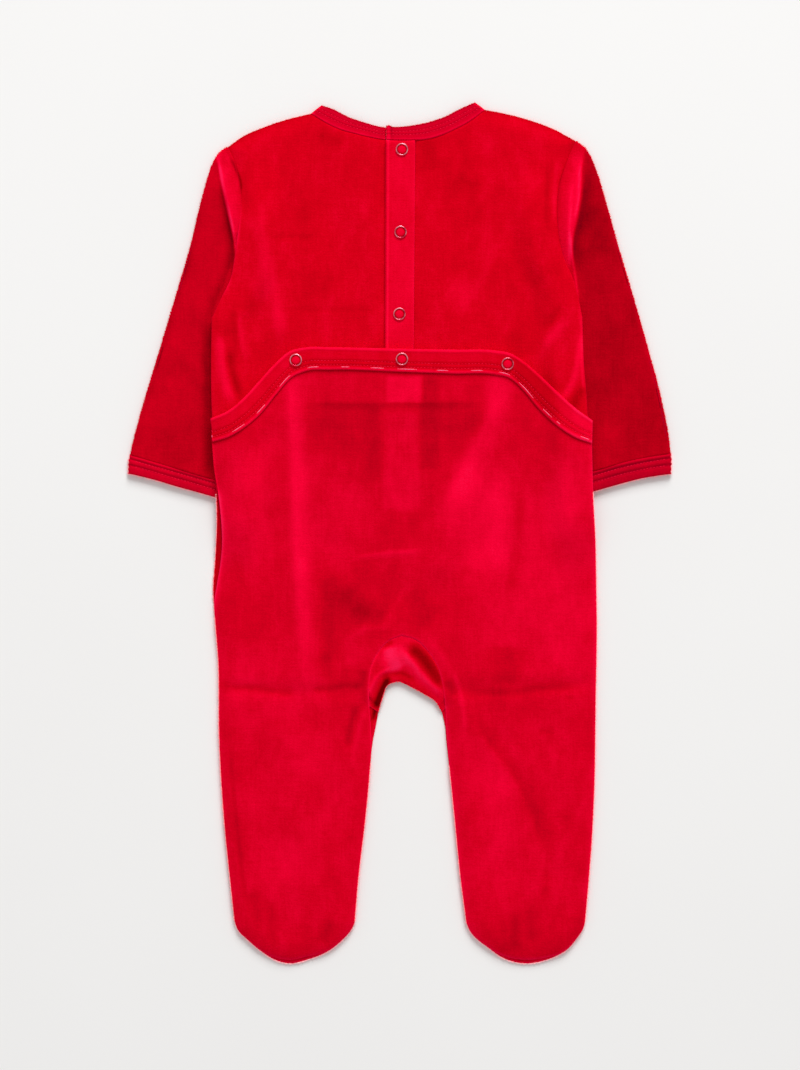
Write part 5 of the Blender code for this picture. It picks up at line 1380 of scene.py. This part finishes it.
def back_half(columns, side, heights):
    """Plan of half the upper back: shoulder and neck, armhole, hem and middle."""
    left = side < 0
    tops, hems = refine(columns, COLUMNS_FINE).T
    shoulder, neck_x = (SHOULDER_LEFT, NECK_SEAM[0][0]) if left else (SHOULDER_RIGHT, NECK_SEAM[-1][0])
    on_shoulder = side * tops > side * neck_x
    top = np.where(on_shoulder[:, None], at_x(shoulder, tops), at_x(NECK_SEAM, tops))
    hem = at_x(BACK_HEM, hems)
    outer = np.stack([body_edge(side, heights), heights], axis=-1)
    fall = (heights[0] - heights) / (heights[0] - heights[-1])
    inner = -1 if left else 0
    middle = between(top[inner], hem[inner], fall)
    hem[0 if left else -1] = outer[-1]
    across = (hem[:, 0] - hem[0, 0]) / (hem[-1, 0] - hem[0, 0])
    return patch(top, hem, *((outer, middle) if left else (middle, outer)), across, fall)


def back_heights(armhole, hem):
    """Heights of the rows of half the upper back at its side, from the shoulder past the underarm."""
    return join(
        np.linspace(armhole[0][0], armhole[-1][0], ARM_ROWS + 1),
        np.linspace(armhole[-1][0], hem[1], HEM_ROWS + 1),
    )


def snap_dimples(x, y, place):
    """The cloth is pinched in round each ring: a bell of the distance past the ring's wire."""
    pinch = np.zeros(np.shape(x))
    for _, snap_x, snap_y, on in SNAPS:
        if on == place:
            past = np.maximum(np.hypot(x - snap_x, y - snap_y) - RING_RADIUS, 0)
            pinch += SNAP_DIMPLE * np.exp(-((past / SNAP_PINCH) ** 2))
    return pinch


def back_fuzz(name, shoulder):
    """Pile that stands off the upper back's shoulder."""
    line = facing_out(along(shoulder, even(60)), (0, 150))
    edge = line, back_level(*line.T) - 0.5 * WALL
    return fuzz("back_fuzz_" + name, seed=9, pale=0.05, edges=[edge])


def upper_back_and_band():
    """The two halves of the upper back, and the snap band on the right one's edge."""
    plan = Plan(back_half(COLUMNS_LEFT, -1, back_heights(ARMHOLE_LEFT, BACK_HEM[0])))
    top, tone = back_surface(plan.x, plan.y)
    top -= underlap_dip(plan.x)
    # painted shade where the left half goes under the snap band, and along the shoulders
    tone += UNDERLAP_TONE * grow(plan.x, UNDERLAP_SHADE) + edge_tone(BACK_EDGES[:3], plan, *SHOULDER_PAINTED_SHADE)
    points, faces, tone = wall(plan, top, top - WALL, tone, BACK_RIM_PAINTED_SHEEN)
    dress("upper_back_left", points, faces, tone, velour("left back velour", shift=(0.1, 0, 0)),
          "back_left", [back_fuzz("left", SHOULDER_LEFT)])

    right = back_half(COLUMNS_RIGHT, 1, back_heights(ARMHOLE_RIGHT, BACK_HEM[-1]))
    plan = Plan(right)
    top, tone = back_surface(plan.x, plan.y)
    # painted shade along the shoulders
    tone += edge_tone(BACK_EDGES[:3], plan, *SHOULDER_PAINTED_SHADE)
    points, faces, tone = wall(plan, top, top - WALL, tone, BACK_RIM_PAINTED_SHEEN)
    dress("upper_back_right", points, faces, tone, velour("right back velour", shift=(0, 0.4, 0)),
          "back_right", [back_fuzz("right", SHOULDER_RIGHT)])

    rows = right[:, 0, 1]
    fall = ((rows[0] - rows) / (rows[0] - rows[-1]))[:, None]
    edge = [at[0] + fall * (at[1] - at[0]) for at in (BAND_LEFT, BAND_RIGHT)]
    shares = strip_shares(SNAP_BAND_PROFILE, ())
    x = edge[0] + shares * (edge[1] - edge[0])
    y = np.repeat(rows[:, None], len(shares), axis=1)
    plan = Plan(np.dstack([x, y, np.ones_like(y) * shares]))
    level = back_level(plan.x, plan.y)
    share = plan.given[0]
    top = level + BAND_RISE + bells(SNAP_BAND_PROFILE, share) - snap_dimples(plan.x, plan.y, "band")
    # painted shade and highlights across the band, at its grooves and edges
    points, faces, tone = wall(plan, top, level - WALL, BAND_TONE + bells(BAND_LIGHT, share))
    dress("snap_band", points, faces, tone, velour("snap band velour", mottle=0.9, shift=(0.5, 0.2, 0)),
          "back_placket",
          [snap_cloth(spot) for spot in SNAPS if spot[3] == "band"])


def neck_bindings():
    """Binding round the neck: left and right on the back, with two rows of stitches, and the front's."""
    left_x = [c[0] for c in COLUMNS_LEFT if NECK_SEAM[0][0] <= c[0] < UNDERLAP_FOOT]
    right_x = [c[0] for c in COLUMNS_RIGHT if c[0] <= NECK_SEAM[-1][0]]
    shares = strip_shares(BINDING_PROFILE, BINDING_ROWS)
    for side, node, xs, ends, cut in (
        ("left", "neck_band_left", left_x + [BINDING_ENDS_LEFT[1]],
         (NECK_TOP[0][0], BINDING_ENDS_LEFT[0]), (20, 60)),
        ("right", "neck_band_right", [BINDING_ENDS_RIGHT[1], 0.0] + right_x,
         (BINDING_ENDS_RIGHT[0], NECK_TOP[-1][0]), (20, 75)),
    ):
        xs = refine(xs, BINDING_FINE)
        seam = at_x(NECK_SEAM, xs) + (0.0, BINDING_GAP)
        outer = at_x(NECK_TOP, np.linspace(*ends, len(xs)))
        left_end, right_end = (between(outer[k], seam[k], shares) for k in (0, -1))
        grid = patch(outer, seam, left_end, right_end, down=shares)
        x, y = grid[..., 0], grid[..., 1]
        level, rise, opening = back_level(x, y), BINDING_RISE, 0.0
        if side == "left":
            level -= underlap_dip(x)
        else:
            rise = rise + BINDING_STEP * (1 - grow(x, BINDING_STEP_END))
            opening = bells(OPENING_LIGHT, x)
            bump = np.exp(-(((x - OPENING_X) / OPENING_HALF) ** 2)) * (1 - shares[:, None])
            y += OPENING_BUMP * bump
        top = level + rise + bells(BINDING_PROFILE, shares)[:, None]
        # painted shade in the grooves and highlights on the edges, and at the opening
        light = (BINDING_TONE + bells(BINDING_LIGHT, shares))[:, None] + opening
        plan = Plan(np.dstack([grid, top, level - WALL, np.broadcast_to(light, x.shape)]))
        points, faces, tone = wall(plan, *plan.given)
        rows = row_lines(grid, top, shares, BINDING_ROWS)
        rows = [row[(row[:, 0] > STITCHED_X) | (row[:, 0] < BINDING_ENDS_LEFT[0])] for row in rows]
        stitches = sew("stitches_neck_" + side, rows, RED_THREAD)
        edge = facing_out(grid[0], (0, 200)), top[0] - NECK_FUZZ_DROP
        hair = fuzz("neck_fuzz_" + side, seed=3, pale=0.0, edges=[edge])
        dress("neck_binding_" + side, points, faces, tone,
              velour(side + " binding velour", mottle=0.6, shift=(0.6, 0.1, 0), painted_pink_sheen=0.008), node,
              [stitches, hair])

    line = along(FRONT_NECK, even(120))

    def beside(share, value):
        """The line at this share of the binding's width, with a value for each of its points."""
        moved = offset_line(line, SIDE_GAP + (1 - share) * NECK_BAND)
        return np.column_stack([moved, np.full(len(line), value)])

    plan = Plan(np.stack([beside(share, share) for share in shares]))
    rise = BINDING_RISE * roll(BACK_EDGES, plan.x, plan.y) * grow(np.abs(plan.x), NECK_CALM)
    dent = -np.minimum(bells(BINDING_PROFILE, plan.given[0]), 0)
    points, faces, tone = wall(plan, WALL + rise - dent, dent, 0 * dent)
    stitches = sew("stitches_neck_front", [beside(share, 0.3) for share in BINDING_ROWS], RED_THREAD)
    dress("neck_binding_front", points, faces, tone, velour("front binding velour", shift=(0.6, 0.5, 0)),
          "neck_band_front", [stitches])


def drop_seat():
    """Drop seat with the backs of the legs and feet, in one piece. Gives its strip's two edges."""
    shares = refine(HALF_SHARES, COLUMNS_FINE)
    half, mirrored = len(shares) - 1, 1 - shares[::-1]
    x = join(
        SEAT_BAND[0][0] + shares * (CROTCH_X - SEAT_BAND[0][0]),
        CROTCH_X + mirrored * (SEAT_BAND[-1][0] - CROTCH_X),
    )
    table = np.array(SEAT_BAND, float)
    upper, lower = (np.stack([x, smooth(table[:, 0], table[:, k], x)], -1) for k in (1, 2))
    lower[0], lower[-1] = seat_edge_left(lower[0, 1]), seat_edge_right(lower[-1, 1])
    heights = [at + even(SEAT_ROWS) * (HIP_HEIGHT - at) for at in (lower[0, 1], lower[-1, 1])]
    grids = legs_and_body(
        lower, shares, [seat_edge_left, seat_edge_right], heights, BACK_CROTCH[1:-1], CROTCH_X,
        [[BACK_CROTCH[1][::-1]] + SEAT_INNER_LEFT, [BACK_CROTCH[-2][::-1]] + SEAT_INNER_RIGHT],
        [along(sole_toe(TOE_LEFT), shares), along(sole_toe(TOE_RIGHT), mirrored)], LEG_ROWS,
    )
    top_band = np.stack([upper + s * (lower - upper) for s in even(8)])
    plan = Plan(top_band[:, : half + 1], top_band[:, half:], *grids)
    top, tone = seat_surface(plan.x, plan.y)
    # Painted highlight along the seat's edges and its arch, and painted shade under the strip's lip.
    (upper_end, upper_fade), (lower_end, lower_fade) = ROLLED
    rolled = ramp((upper_end - plan.y) / upper_fade) * ramp((plan.y - lower_end) / lower_fade)
    edge_light = np.where(plan.x > 0, SEAT_EDGE_HIGHLIGHT[1], SEAT_EDGE_HIGHLIGHT[-1] + ROLLED_HIGHLIGHT * rolled)
    tone += edge_tone(SEAT_EDGES, plan, edge_light, SEAT_EDGE_REACH)
    tone += edge_tone([along(BACK_CROTCH, even(60))], plan, *ARCH_EDGE_HIGHLIGHT)
    below = plan.y - at_x(table[:, [0, 2]], plan.x)[..., 1] + STRIP_LIP + STRIP_SHADE_DROP
    tone += STRIP_SHADE * np.clip(1 - np.abs(below / STRIP_SHADE_HALF), 0, 1)
    points, faces, tone = wall(plan, top, top - WALL, tone)
    hair = []
    for count, (edge, start, end, pale) in enumerate(SEAT_FUZZ):
        line = SEAT_EDGES[edge]
        line = line[(line[:, 1] < start) & (line[:, 1] > end)]
        line = facing_out(line, (80 * np.sign(line[:, 0].mean()), line[:, 1].mean()))
        edge = line, seat_surface(*line.T)[0] - 0.5 * WALL
        hair.append(fuzz(f"leg_fuzz_{count}", seed=4, pale=pale, edges=[edge]))
    dress("drop_seat", points, faces, tone, velour("seat velour", painted_pink_sheen=0.004), "seat_panel",
          hair)
    return upper, lower


def seat_strip(upper, lower):
    """Strip on the seat's curved top, with its rows of stitches, its overlock thread and its snaps."""
    down = strip_shares(SEAT_STRIP_PROFILE, SEAT_STRIP_ROWS, 18)
    lip = offset_line(lower, -STRIP_LIP)
    lip[0], lip[-1] = seat_edge_left(lower[0, 1] - STRIP_LIP), seat_edge_right(lower[-1, 1] - STRIP_LIP)
    grid = np.stack([upper + s * (lip - upper) for s in down])
    x, y = grid[..., 0], grid[..., 1]
    base = seat_surface(x, y)[0] + LAYER_GAP
    top = base + STRIP_WALL + bells(SEAT_STRIP_PROFILE, down)[:, None] - snap_dimples(x, y, "seat")
    start, end, gain = STRIP_END_LIGHT
    x0, x1, x2, x3, loss = STRIP_TURN_DARK
    # painted shade in the grooves and highlights on the edges
    light = (SEAT_STRIP_TONE + bells(SEAT_STRIP_LIGHT, down))[:, None] + gain * grow(x, (start, end))
    light += loss * grow(x, (x0, x1)) * grow(-x, (-x3, -x2))
    plan = Plan(np.dstack([grid, top, base, light]))
    points, faces, tone = wall(plan, *plan.given)
    stitches = sew("stitches_seat_strip", row_lines(grid, top, down, SEAT_STRIP_ROWS), RED_THREAD)
    seam = np.abs(down - OVERLOCK_PLACE).argmin()
    overlock = overlock_thread(np.column_stack([grid[seam], top[seam]]))
    caps = [snap_cloth(spot) for spot in SNAPS if spot[3] == "seat"]
    edge = facing_out(grid[0], (0, 0)), top[0] - STRIP_FUZZ_DROP
    hair = fuzz("strip_fuzz", seed=5, pale=0.0, edges=[edge])
    dress("seat_strip", points, faces, tone, velour("strip velour", mottle=0.7, shift=(0.2, 0.3, 0)),
          "seat_facing", [stitches, overlock, hair, *caps])


def overlock_thread(seam):
    """Light overlock thread: a thin tube along each stretch of the strip's lower seam that shows."""
    total = lengths(seam)[-1]
    starts, ends = (np.array(OVERLOCK_DASHES) * total).T
    shares = even(OVERLOCK_POINTS)
    sizes = np.sin(np.pi * (0.08 + 0.84 * shares))
    points, faces = swept(piece_of(seam, starts, ends, len(shares)), OVERLOCK, sizes, OVERLOCK_SINK)
    return trimming("overlock_thread", points, faces, PINK_THREAD)


def gusset():
    """Crescent between the legs: from under the seat's arched edge it bulges and turns down."""
    shares, down = even(GUSSET_COLUMNS), even(GUSSET_ROWS)
    arch = along(BACK_CROTCH, shares)
    reach = lengths(np.array(BACK_CROTCH, float))[-1] * np.minimum(shares, 1 - shares)
    under = GUSSET_TUCK * grow(reach, GUSSET_SLIP) + GUSSET_LEAST_TUCK
    start = arch + under[:, None] * (offset_line(arch, 1.0) - arch)
    outer = along(FRONT_CROTCH, shares)
    left_end, right_end = (between(start[k], outer[k], down) for k in (0, -1))
    grid = patch(start, outer, left_end, right_end, down=down)
    wide = grow(reach, (0.0, GUSSET_TAPER))
    thick = GUSSET_TIP + wide * (GUSSET_WALL - GUSSET_TIP)
    lowest = WALL + TIP_GAP + wide * (LAYER_GAP - TIP_GAP) + thick
    below_seat = seat_surface(*start.T)[0] - WALL - TUCK_GAP
    tucked = np.where(under > GUSSET_LEAST_TUCK + 0.1, np.maximum(below_seat, lowest), lowest)
    places, rises = np.array(GUSSET_ROLL).T
    bulge = GUSSET_BULGE * ramp(np.sin(np.pi * shares)) * smooth(places, rises, down)[:, None]
    top = np.maximum(tucked + down[:, None] * (lowest - tucked) + bulge, lowest)
    like_top = np.ones_like(top)
    plan = Plan(np.dstack([grid, top, down[:, None] * like_top, lowest * like_top, thick * like_top]))
    # the creases' tone holds painted shade in the fold's dark wedge
    crease, tone = creased(GUSSET_CREASES, plan.x, plan.y)
    height, share, least, wall_there = plan.given
    past, where, turn = nearest(arch, plan.x, plan.y)
    past = np.where(turn > 0, -past, past)
    flush = GUSSET_FLUSH * grow(np.minimum(where, 1 - where), GUSSET_FLUSH_ENDS)
    flush *= grow(past, GUSSET_FLUSH_STEP) * np.exp(-np.maximum(past, 0) / GUSSET_FLUSH_FADE)
    calm = ramp(share / GUSSET_CALM) * ramp((1 - share) / GUSSET_CALM)
    height = np.maximum(height + flush + crease * calm, least)
    # painted light along the seat's arch and its edge, against the shade under the seat
    tone += GUSSET_PAINTED_LIGHT * np.exp(-share / GUSSET_REACH)
    tone += GUSSET_EDGE_PAINTED_LIGHT[0] * np.exp(-np.abs(past) / GUSSET_EDGE_PAINTED_LIGHT[1])
    points, faces, tone = wall(plan, height, height - wall_there, tone)
    edge = facing_out(outer, (0, 0)), lowest - GUSSET_FUZZ_DROP
    hair = fuzz("gusset_fuzz", seed=6, pale=0.3, edges=[edge])
    dress("gusset", points, faces, tone, velour("gusset velour", tone=0.3, shift=(0.4, 0.4, 0)),
          "crotch_gusset", [hair])


def sleeve(side):
    """A sleeve lying flat, from the armhole to the wrist hem, partly under the body.

    Its plan is two patches: from the seam down its fold to the foot, and from there to the wrist.
    """
    left = side < 0
    name = "left" if left else "right"
    stations = refine(STATIONS_LEFT if left else STATIONS_RIGHT, SLEEVE_FINE)
    armhole = ARMHOLE_LEFT if left else ARMHOLE_RIGHT
    outer = np.array(SLEEVE_OUTER_LEFT if left else SLEEVE_OUTER_RIGHT, float)
    order = slice(None) if left else slice(None, None, -1)
    seam_y, tuck, rise, foot_x, foot_y = stations.T
    seam = np.stack([edge_x(armhole, seam_y) - side * (tuck + SEAM_PULL), seam_y], axis=-1)
    seam[0] = outer[0]
    foot = np.stack([foot_x, foot_y], axis=-1)
    length = lengths(outer)
    foot_share = length[OUTER_FOOT] / length[-1]
    places, rises = np.array(SLEEVE_FOLD).T
    fold = refine(places, SLEEVE_FINE)
    over_edge, under_edge = along(outer, fold * foot_share), between(seam[-1], foot[-1], fold)
    top_part = patch(seam, foot, over_edge, under_edge, down=fold)
    rows = even(SLEEVE_LENGTHS) ** SLEEVE_CROWDING
    outer_part = along(outer, foot_share + rows * (1 - foot_share))
    inner_part = along(SLEEVE_INNER_LEFT if left else SLEEVE_INNER_RIGHT, rows)
    wrist = along(WRIST_SEAM_LEFT if left else WRIST_SEAM_RIGHT, even(len(stations) - 1))[order]
    main_part = patch(foot, wrist, outer_part, inner_part, down=rows)
    grid = np.concatenate([top_part, main_part[1:]])[:, order]

    x, y = grid[..., 0], grid[..., 1]
    shown = grow(side * (x - body_edge(side, y)), SLEEVE_SHOWN)
    crease = np.clip(creased(SLEEVE_CREASES, x, y)[0], -SLEEVE_CREASE_MOST, SLEEVE_CREASE_MOST)
    top = SLEEVE_HEIGHT + (crease + ripple(y, x)) * shown
    bottom = np.maximum(ripple(x + RIPPLE_SHIFT, y), 0) * shown
    edge_lift = lift(edge_x(armhole, seam_y), seam_y)[order]
    rise, tuck = rise[order], tuck[order]
    hang = np.where(tuck < 0, np.minimum(edge_lift, rise + HANG_MORE), 0.0)
    count = len(fold)
    top[:count] += smooth(places, rises, fold)[:, None] * rise
    bottom[:count] += hang * (1 - fold[:, None]) ** 2
    points, faces = flat_tube(grid, top, bottom, 0.5 * SLEEVE_HEIGHT)
    # tone of the nap, with painted shade beside the body and painted highlight on the fold
    tone = creased(SLEEVE_CREASES, points[:, 0], points[:, 1])[1]
    edge = facing_out(grid[:, 0 if left else -1], (0, 100)), 0.5 * SLEEVE_HEIGHT
    hair = fuzz("sleeve_fuzz_" + name, seed=7, pale=0.05, edges=[edge])
    dress("sleeve_cloth_" + name, points, faces, tone,
          velour(name + " sleeve velour", tone=SLEEVE_TONE[side], shift=(0.7, 0.2 * side, 0), painted_pink_sheen=0.003),
          "sleeve_" + name, [hair])


def wrist_hem(side):
    """Turned hem at a wrist: a short flat tube with two rows of stitches all round."""
    left = side < 0
    name = "left" if left else "right"
    seam, end = (WRIST_SEAM_LEFT, WRIST_END_LEFT) if left else (WRIST_SEAM_RIGHT, WRIST_END_RIGHT)
    columns = even(WRIST_COLUMNS)
    down = strip_shares(WRIST_PROFILE, WRIST_ROWS)
    start, stop = along(seam, columns) + (0.0, SEAM_PULL), along(end, columns)
    grid = np.stack([start + s * (stop - start) for s in down])
    flare = HEM_FLARE * ramp(down / 0.5) ** 0.5
    flare += HEM_TEETH * np.sin(2 * np.pi * (down / HEM_TOOTH + 0.1))
    grid[:, 0, 0] -= flare
    grid[:, -1, 0] += flare
    profile = bells(WRIST_PROFILE, down)[:, None] * np.ones(len(columns))
    ends = np.exp(-down / HEM_EDGE_REACH) + np.exp(-(1 - down) / HEM_EDGE_REACH)
    profile -= HEM_EDGE_DROP * ends[:, None]
    top, bottom = HEM_HEIGHT + profile, np.maximum(-profile, 0)
    points, faces = flat_tube(grid, top, bottom, 0.5 * SLEEVE_HEIGHT)
    width = np.linalg.norm(stop - start, axis=1).mean()
    # painted shade in the grooves and highlights on the ridges
    tone = bells(WRIST_LIGHT, distance_to([start], points[:, 0], points[:, 1]) / width)
    middle = grid[:, 2:-2]
    over, under = (row_lines(middle, face[:, 2:-2], down, WRIST_ROWS) for face in (top, bottom))
    rows = [row for pair in zip(over, under) for row in pair]
    stitches = sew("stitches_wrist_" + name, rows, RED_THREAD)
    lines = [facing_out(line, grid.mean(axis=(0, 1))) for line in (grid[-1], grid[:, 0 if left else -1])]
    hair = fuzz("hem_fuzz_" + name, seed=8, pale=0.9, edges=[(line, HEM_FUZZ_HEIGHT) for line in lines])
    material = velour(
        name + " hem velour", tone=HEM_SHADE * SLEEVE_TONE[side], mottle=0.7,
        shift=(0.9, 0.3 * side, 0), painted_pink_sheen=0.008,
    )
    dress("wrist_hem_" + name, points, faces, tone, material,
          "cuff_" + name, [stitches, hair])


# ------------------------------------------------------------------ snaps
def snap_base(spot):
    """Height of the underside of a ring: just above the cloth that it is set in, as in its solid."""
    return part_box(spot[0])[0].z / MM


def snap_cloth(spot):
    """The cloth that bulges inside a ring: a disc whose grid is a square pressed round, domed."""
    name, x, y, _ = spot
    u, v = np.meshgrid(2 * even(SNAP_CLOTH_CELLS) - 1, 1 - 2 * even(SNAP_CLOTH_CELLS))
    disc = np.dstack([u * np.sqrt(1 - v * v / 2), v * np.sqrt(1 - u * u / 2)])
    plan = Plan(np.dstack([x + SNAP_CLOTH * disc[..., 0], y + SNAP_CLOTH * disc[..., 1]]))
    out = np.hypot(plan.x - x, plan.y - y) / SNAP_CLOTH
    base = snap_base(spot) - SNAP_BASE - SNAP_CLOTH_SINK
    top = base + SNAP_CLOTH_WALL + SNAP_DOME * np.maximum(1 - out**2, 0) ** 0.7
    # painted highlight on the dome, and painted shade under the ring
    tone = SNAP_CLOTH_PAINTED_LIGHT[0] + SNAP_CLOTH_PAINTED_LIGHT[1] * np.clip(out - 0.7, 0, 1)
    points, faces, tone = wall(plan, top, np.full(len(top), base), tone, 0.0)
    return trimming(name + "_cloth", points, faces, SNAP_VELOUR, tone)


def snap_ring(spot, metal):
    """Ring of a snap: a round wire bent round, closed both ways, lying in the pinched cloth."""
    name, x, y, _ = spot
    about, turn = (2 * np.pi * np.arange(count) / count for count in RING_POINTS)
    about, turn = np.meshgrid(about, turn, indexing="ij")
    out = RING_RADIUS + RING_WIRE * np.cos(turn)
    height = snap_base(spot) + RING_WIRE * (1 + np.sin(turn)) - RING_SINK
    points = np.stack([x + out * np.cos(about), y + out * np.sin(about), height], axis=-1)
    number = np.arange(about.size).reshape(about.shape)
    ahead, up = np.roll(number, -1, axis=0), np.roll(number, -1, axis=1)
    faces = np.stack([number, ahead, np.roll(ahead, -1, axis=1), up], -1).reshape(-1, 4)
    made = mesh_object(name + "_ring", points.reshape(-1, 3), faces, metal)
    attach(made, "root")
    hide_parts(name)


# ------------------------------------------------------------------ studio
VIEW_LONG_SIDE = 770.4          # mm of the table along the picture's long side ...
VIEW_HEIGHT = 6.0               # ... at this height, the middle of the cloth
VIEW_MIDDLE = (0.0, -1.44)
LENS = 100.0
SENSOR = 36.0
KEY_DIRECTION = (0.16, 1.0)     # towards the key light, on the table
KEY_ELEVATION = 32.0            # degrees
KEY_DISTANCE = 7.0              # metres
KEY_SIZE = 3.4
KEY_POWER = 466.0
SKY = 0.59                      # even light from all round
SKY_TOP = 0.3                   # and from straight above, behind the camera
SKY_TURN = (0.85, 0.97)         # it changes from one to the other between these upward shares
TABLE_HALF = 3000.0             # mm from the middle of the table to its sides
TABLE_CELLS = 8
TABLE_DROP = 0.2                # it lies this far below the cloth


def table_top():
    """The pale surface, a little below the cloth, with a very faint unevenness."""
    material, tree, shader = new_material("pale table", Roughness=0.85, Specular_IOR_Level=0.1)
    _, colour = plain_noise_colour(tree, 3.0, *TABLE_COLOURS)
    tree.links.new(colour, shader.inputs["Base Color"])
    steps = TABLE_HALF * (2 * even(TABLE_CELLS) - 1)
    plan = Plan(np.stack(np.meshgrid(steps, steps[::-1]), axis=-1))
    points = np.column_stack([plan.points, np.full(len(plan.points), -TABLE_DROP)])
    floor = mesh_object("floor", points, plan.faces, material)


def studio():
    """Camera straight above, one large soft light from the upper right, and an even pale sky."""
    scene = bpy.context.scene
    scene.view_settings.view_transform = "Standard"
    camera = bpy.data.cameras.new("camera")
    camera.lens, camera.sensor_width = LENS, SENSOR
    distance = VIEW_LONG_SIDE * LENS / SENSOR
    eye = bpy.data.objects.new("camera", camera)
    eye.location = [size * MM for size in (*VIEW_MIDDLE, VIEW_HEIGHT + distance)]
    scene.collection.objects.link(eye)
    scene.camera = eye

    lamp = bpy.data.lights.new("key light", "AREA")
    lamp.shape, lamp.size, lamp.energy = "SQUARE", KEY_SIZE, KEY_POWER
    flat = np.array(KEY_DIRECTION) / np.hypot(*KEY_DIRECTION) * math.cos(math.radians(KEY_ELEVATION))
    way = np.array([*flat, math.sin(math.radians(KEY_ELEVATION))])
    key = bpy.data.objects.new("key light", lamp)
    key.location = way * KEY_DISTANCE
    key.rotation_mode = "QUATERNION"
    key.rotation_quaternion = key.location.to_track_quat("Z", "Y")
    scene.collection.objects.link(key)

    world = bpy.data.worlds.new("studio")
    world.use_nodes = True
    scene.world = world
    tree = world.node_tree
    place = new_node(tree, "TexCoord")
    parts = new_node(tree, "SeparateXYZ")
    level = new_node(
        tree, "MapRange", From_Min=SKY_TURN[0], From_Max=SKY_TURN[1], To_Min=SKY, To_Max=SKY_TOP
    )
    sky = tree.nodes["Background"]
    sky.inputs["Color"].default_value = (1.0, 0.995, 0.99, 1.0)
    tree.links.new(place.outputs["Generated"], parts.inputs[0])
    tree.links.new(parts.outputs["Z"], level.inputs["Value"])
    tree.links.new(level.outputs["Result"], sky.inputs["Strength"])


RED_THREAD = thread("red thread", (0.95, 0.0, 0.03), (1.0, 0.014, 0.07))
PILE_TIPS = pile_tips()
PINK_THREAD = thread("light overlock thread", (1.0, 0.08, 0.20), (1.0, 0.25, 0.44))
SNAP_VELOUR = velour("snap velour", mottle=0.5)

studio()
table_top()
front_cloth()
foot_front("foot_front_left", "foot_top_left", TOE_LEFT)
foot_front("foot_front_right", "foot_top_right", TOE_RIGHT)
upper_back_and_band()
neck_bindings()
seat_strip(*drop_seat())
gusset()
for body_side in (-1, 1):
    sleeve(body_side)
    wrist_hem(body_side)
RING_METAL = ring_metal()
for snap in SNAPS:
    snap_ring(snap, RING_METAL)

bpy.context.view_layer.update()
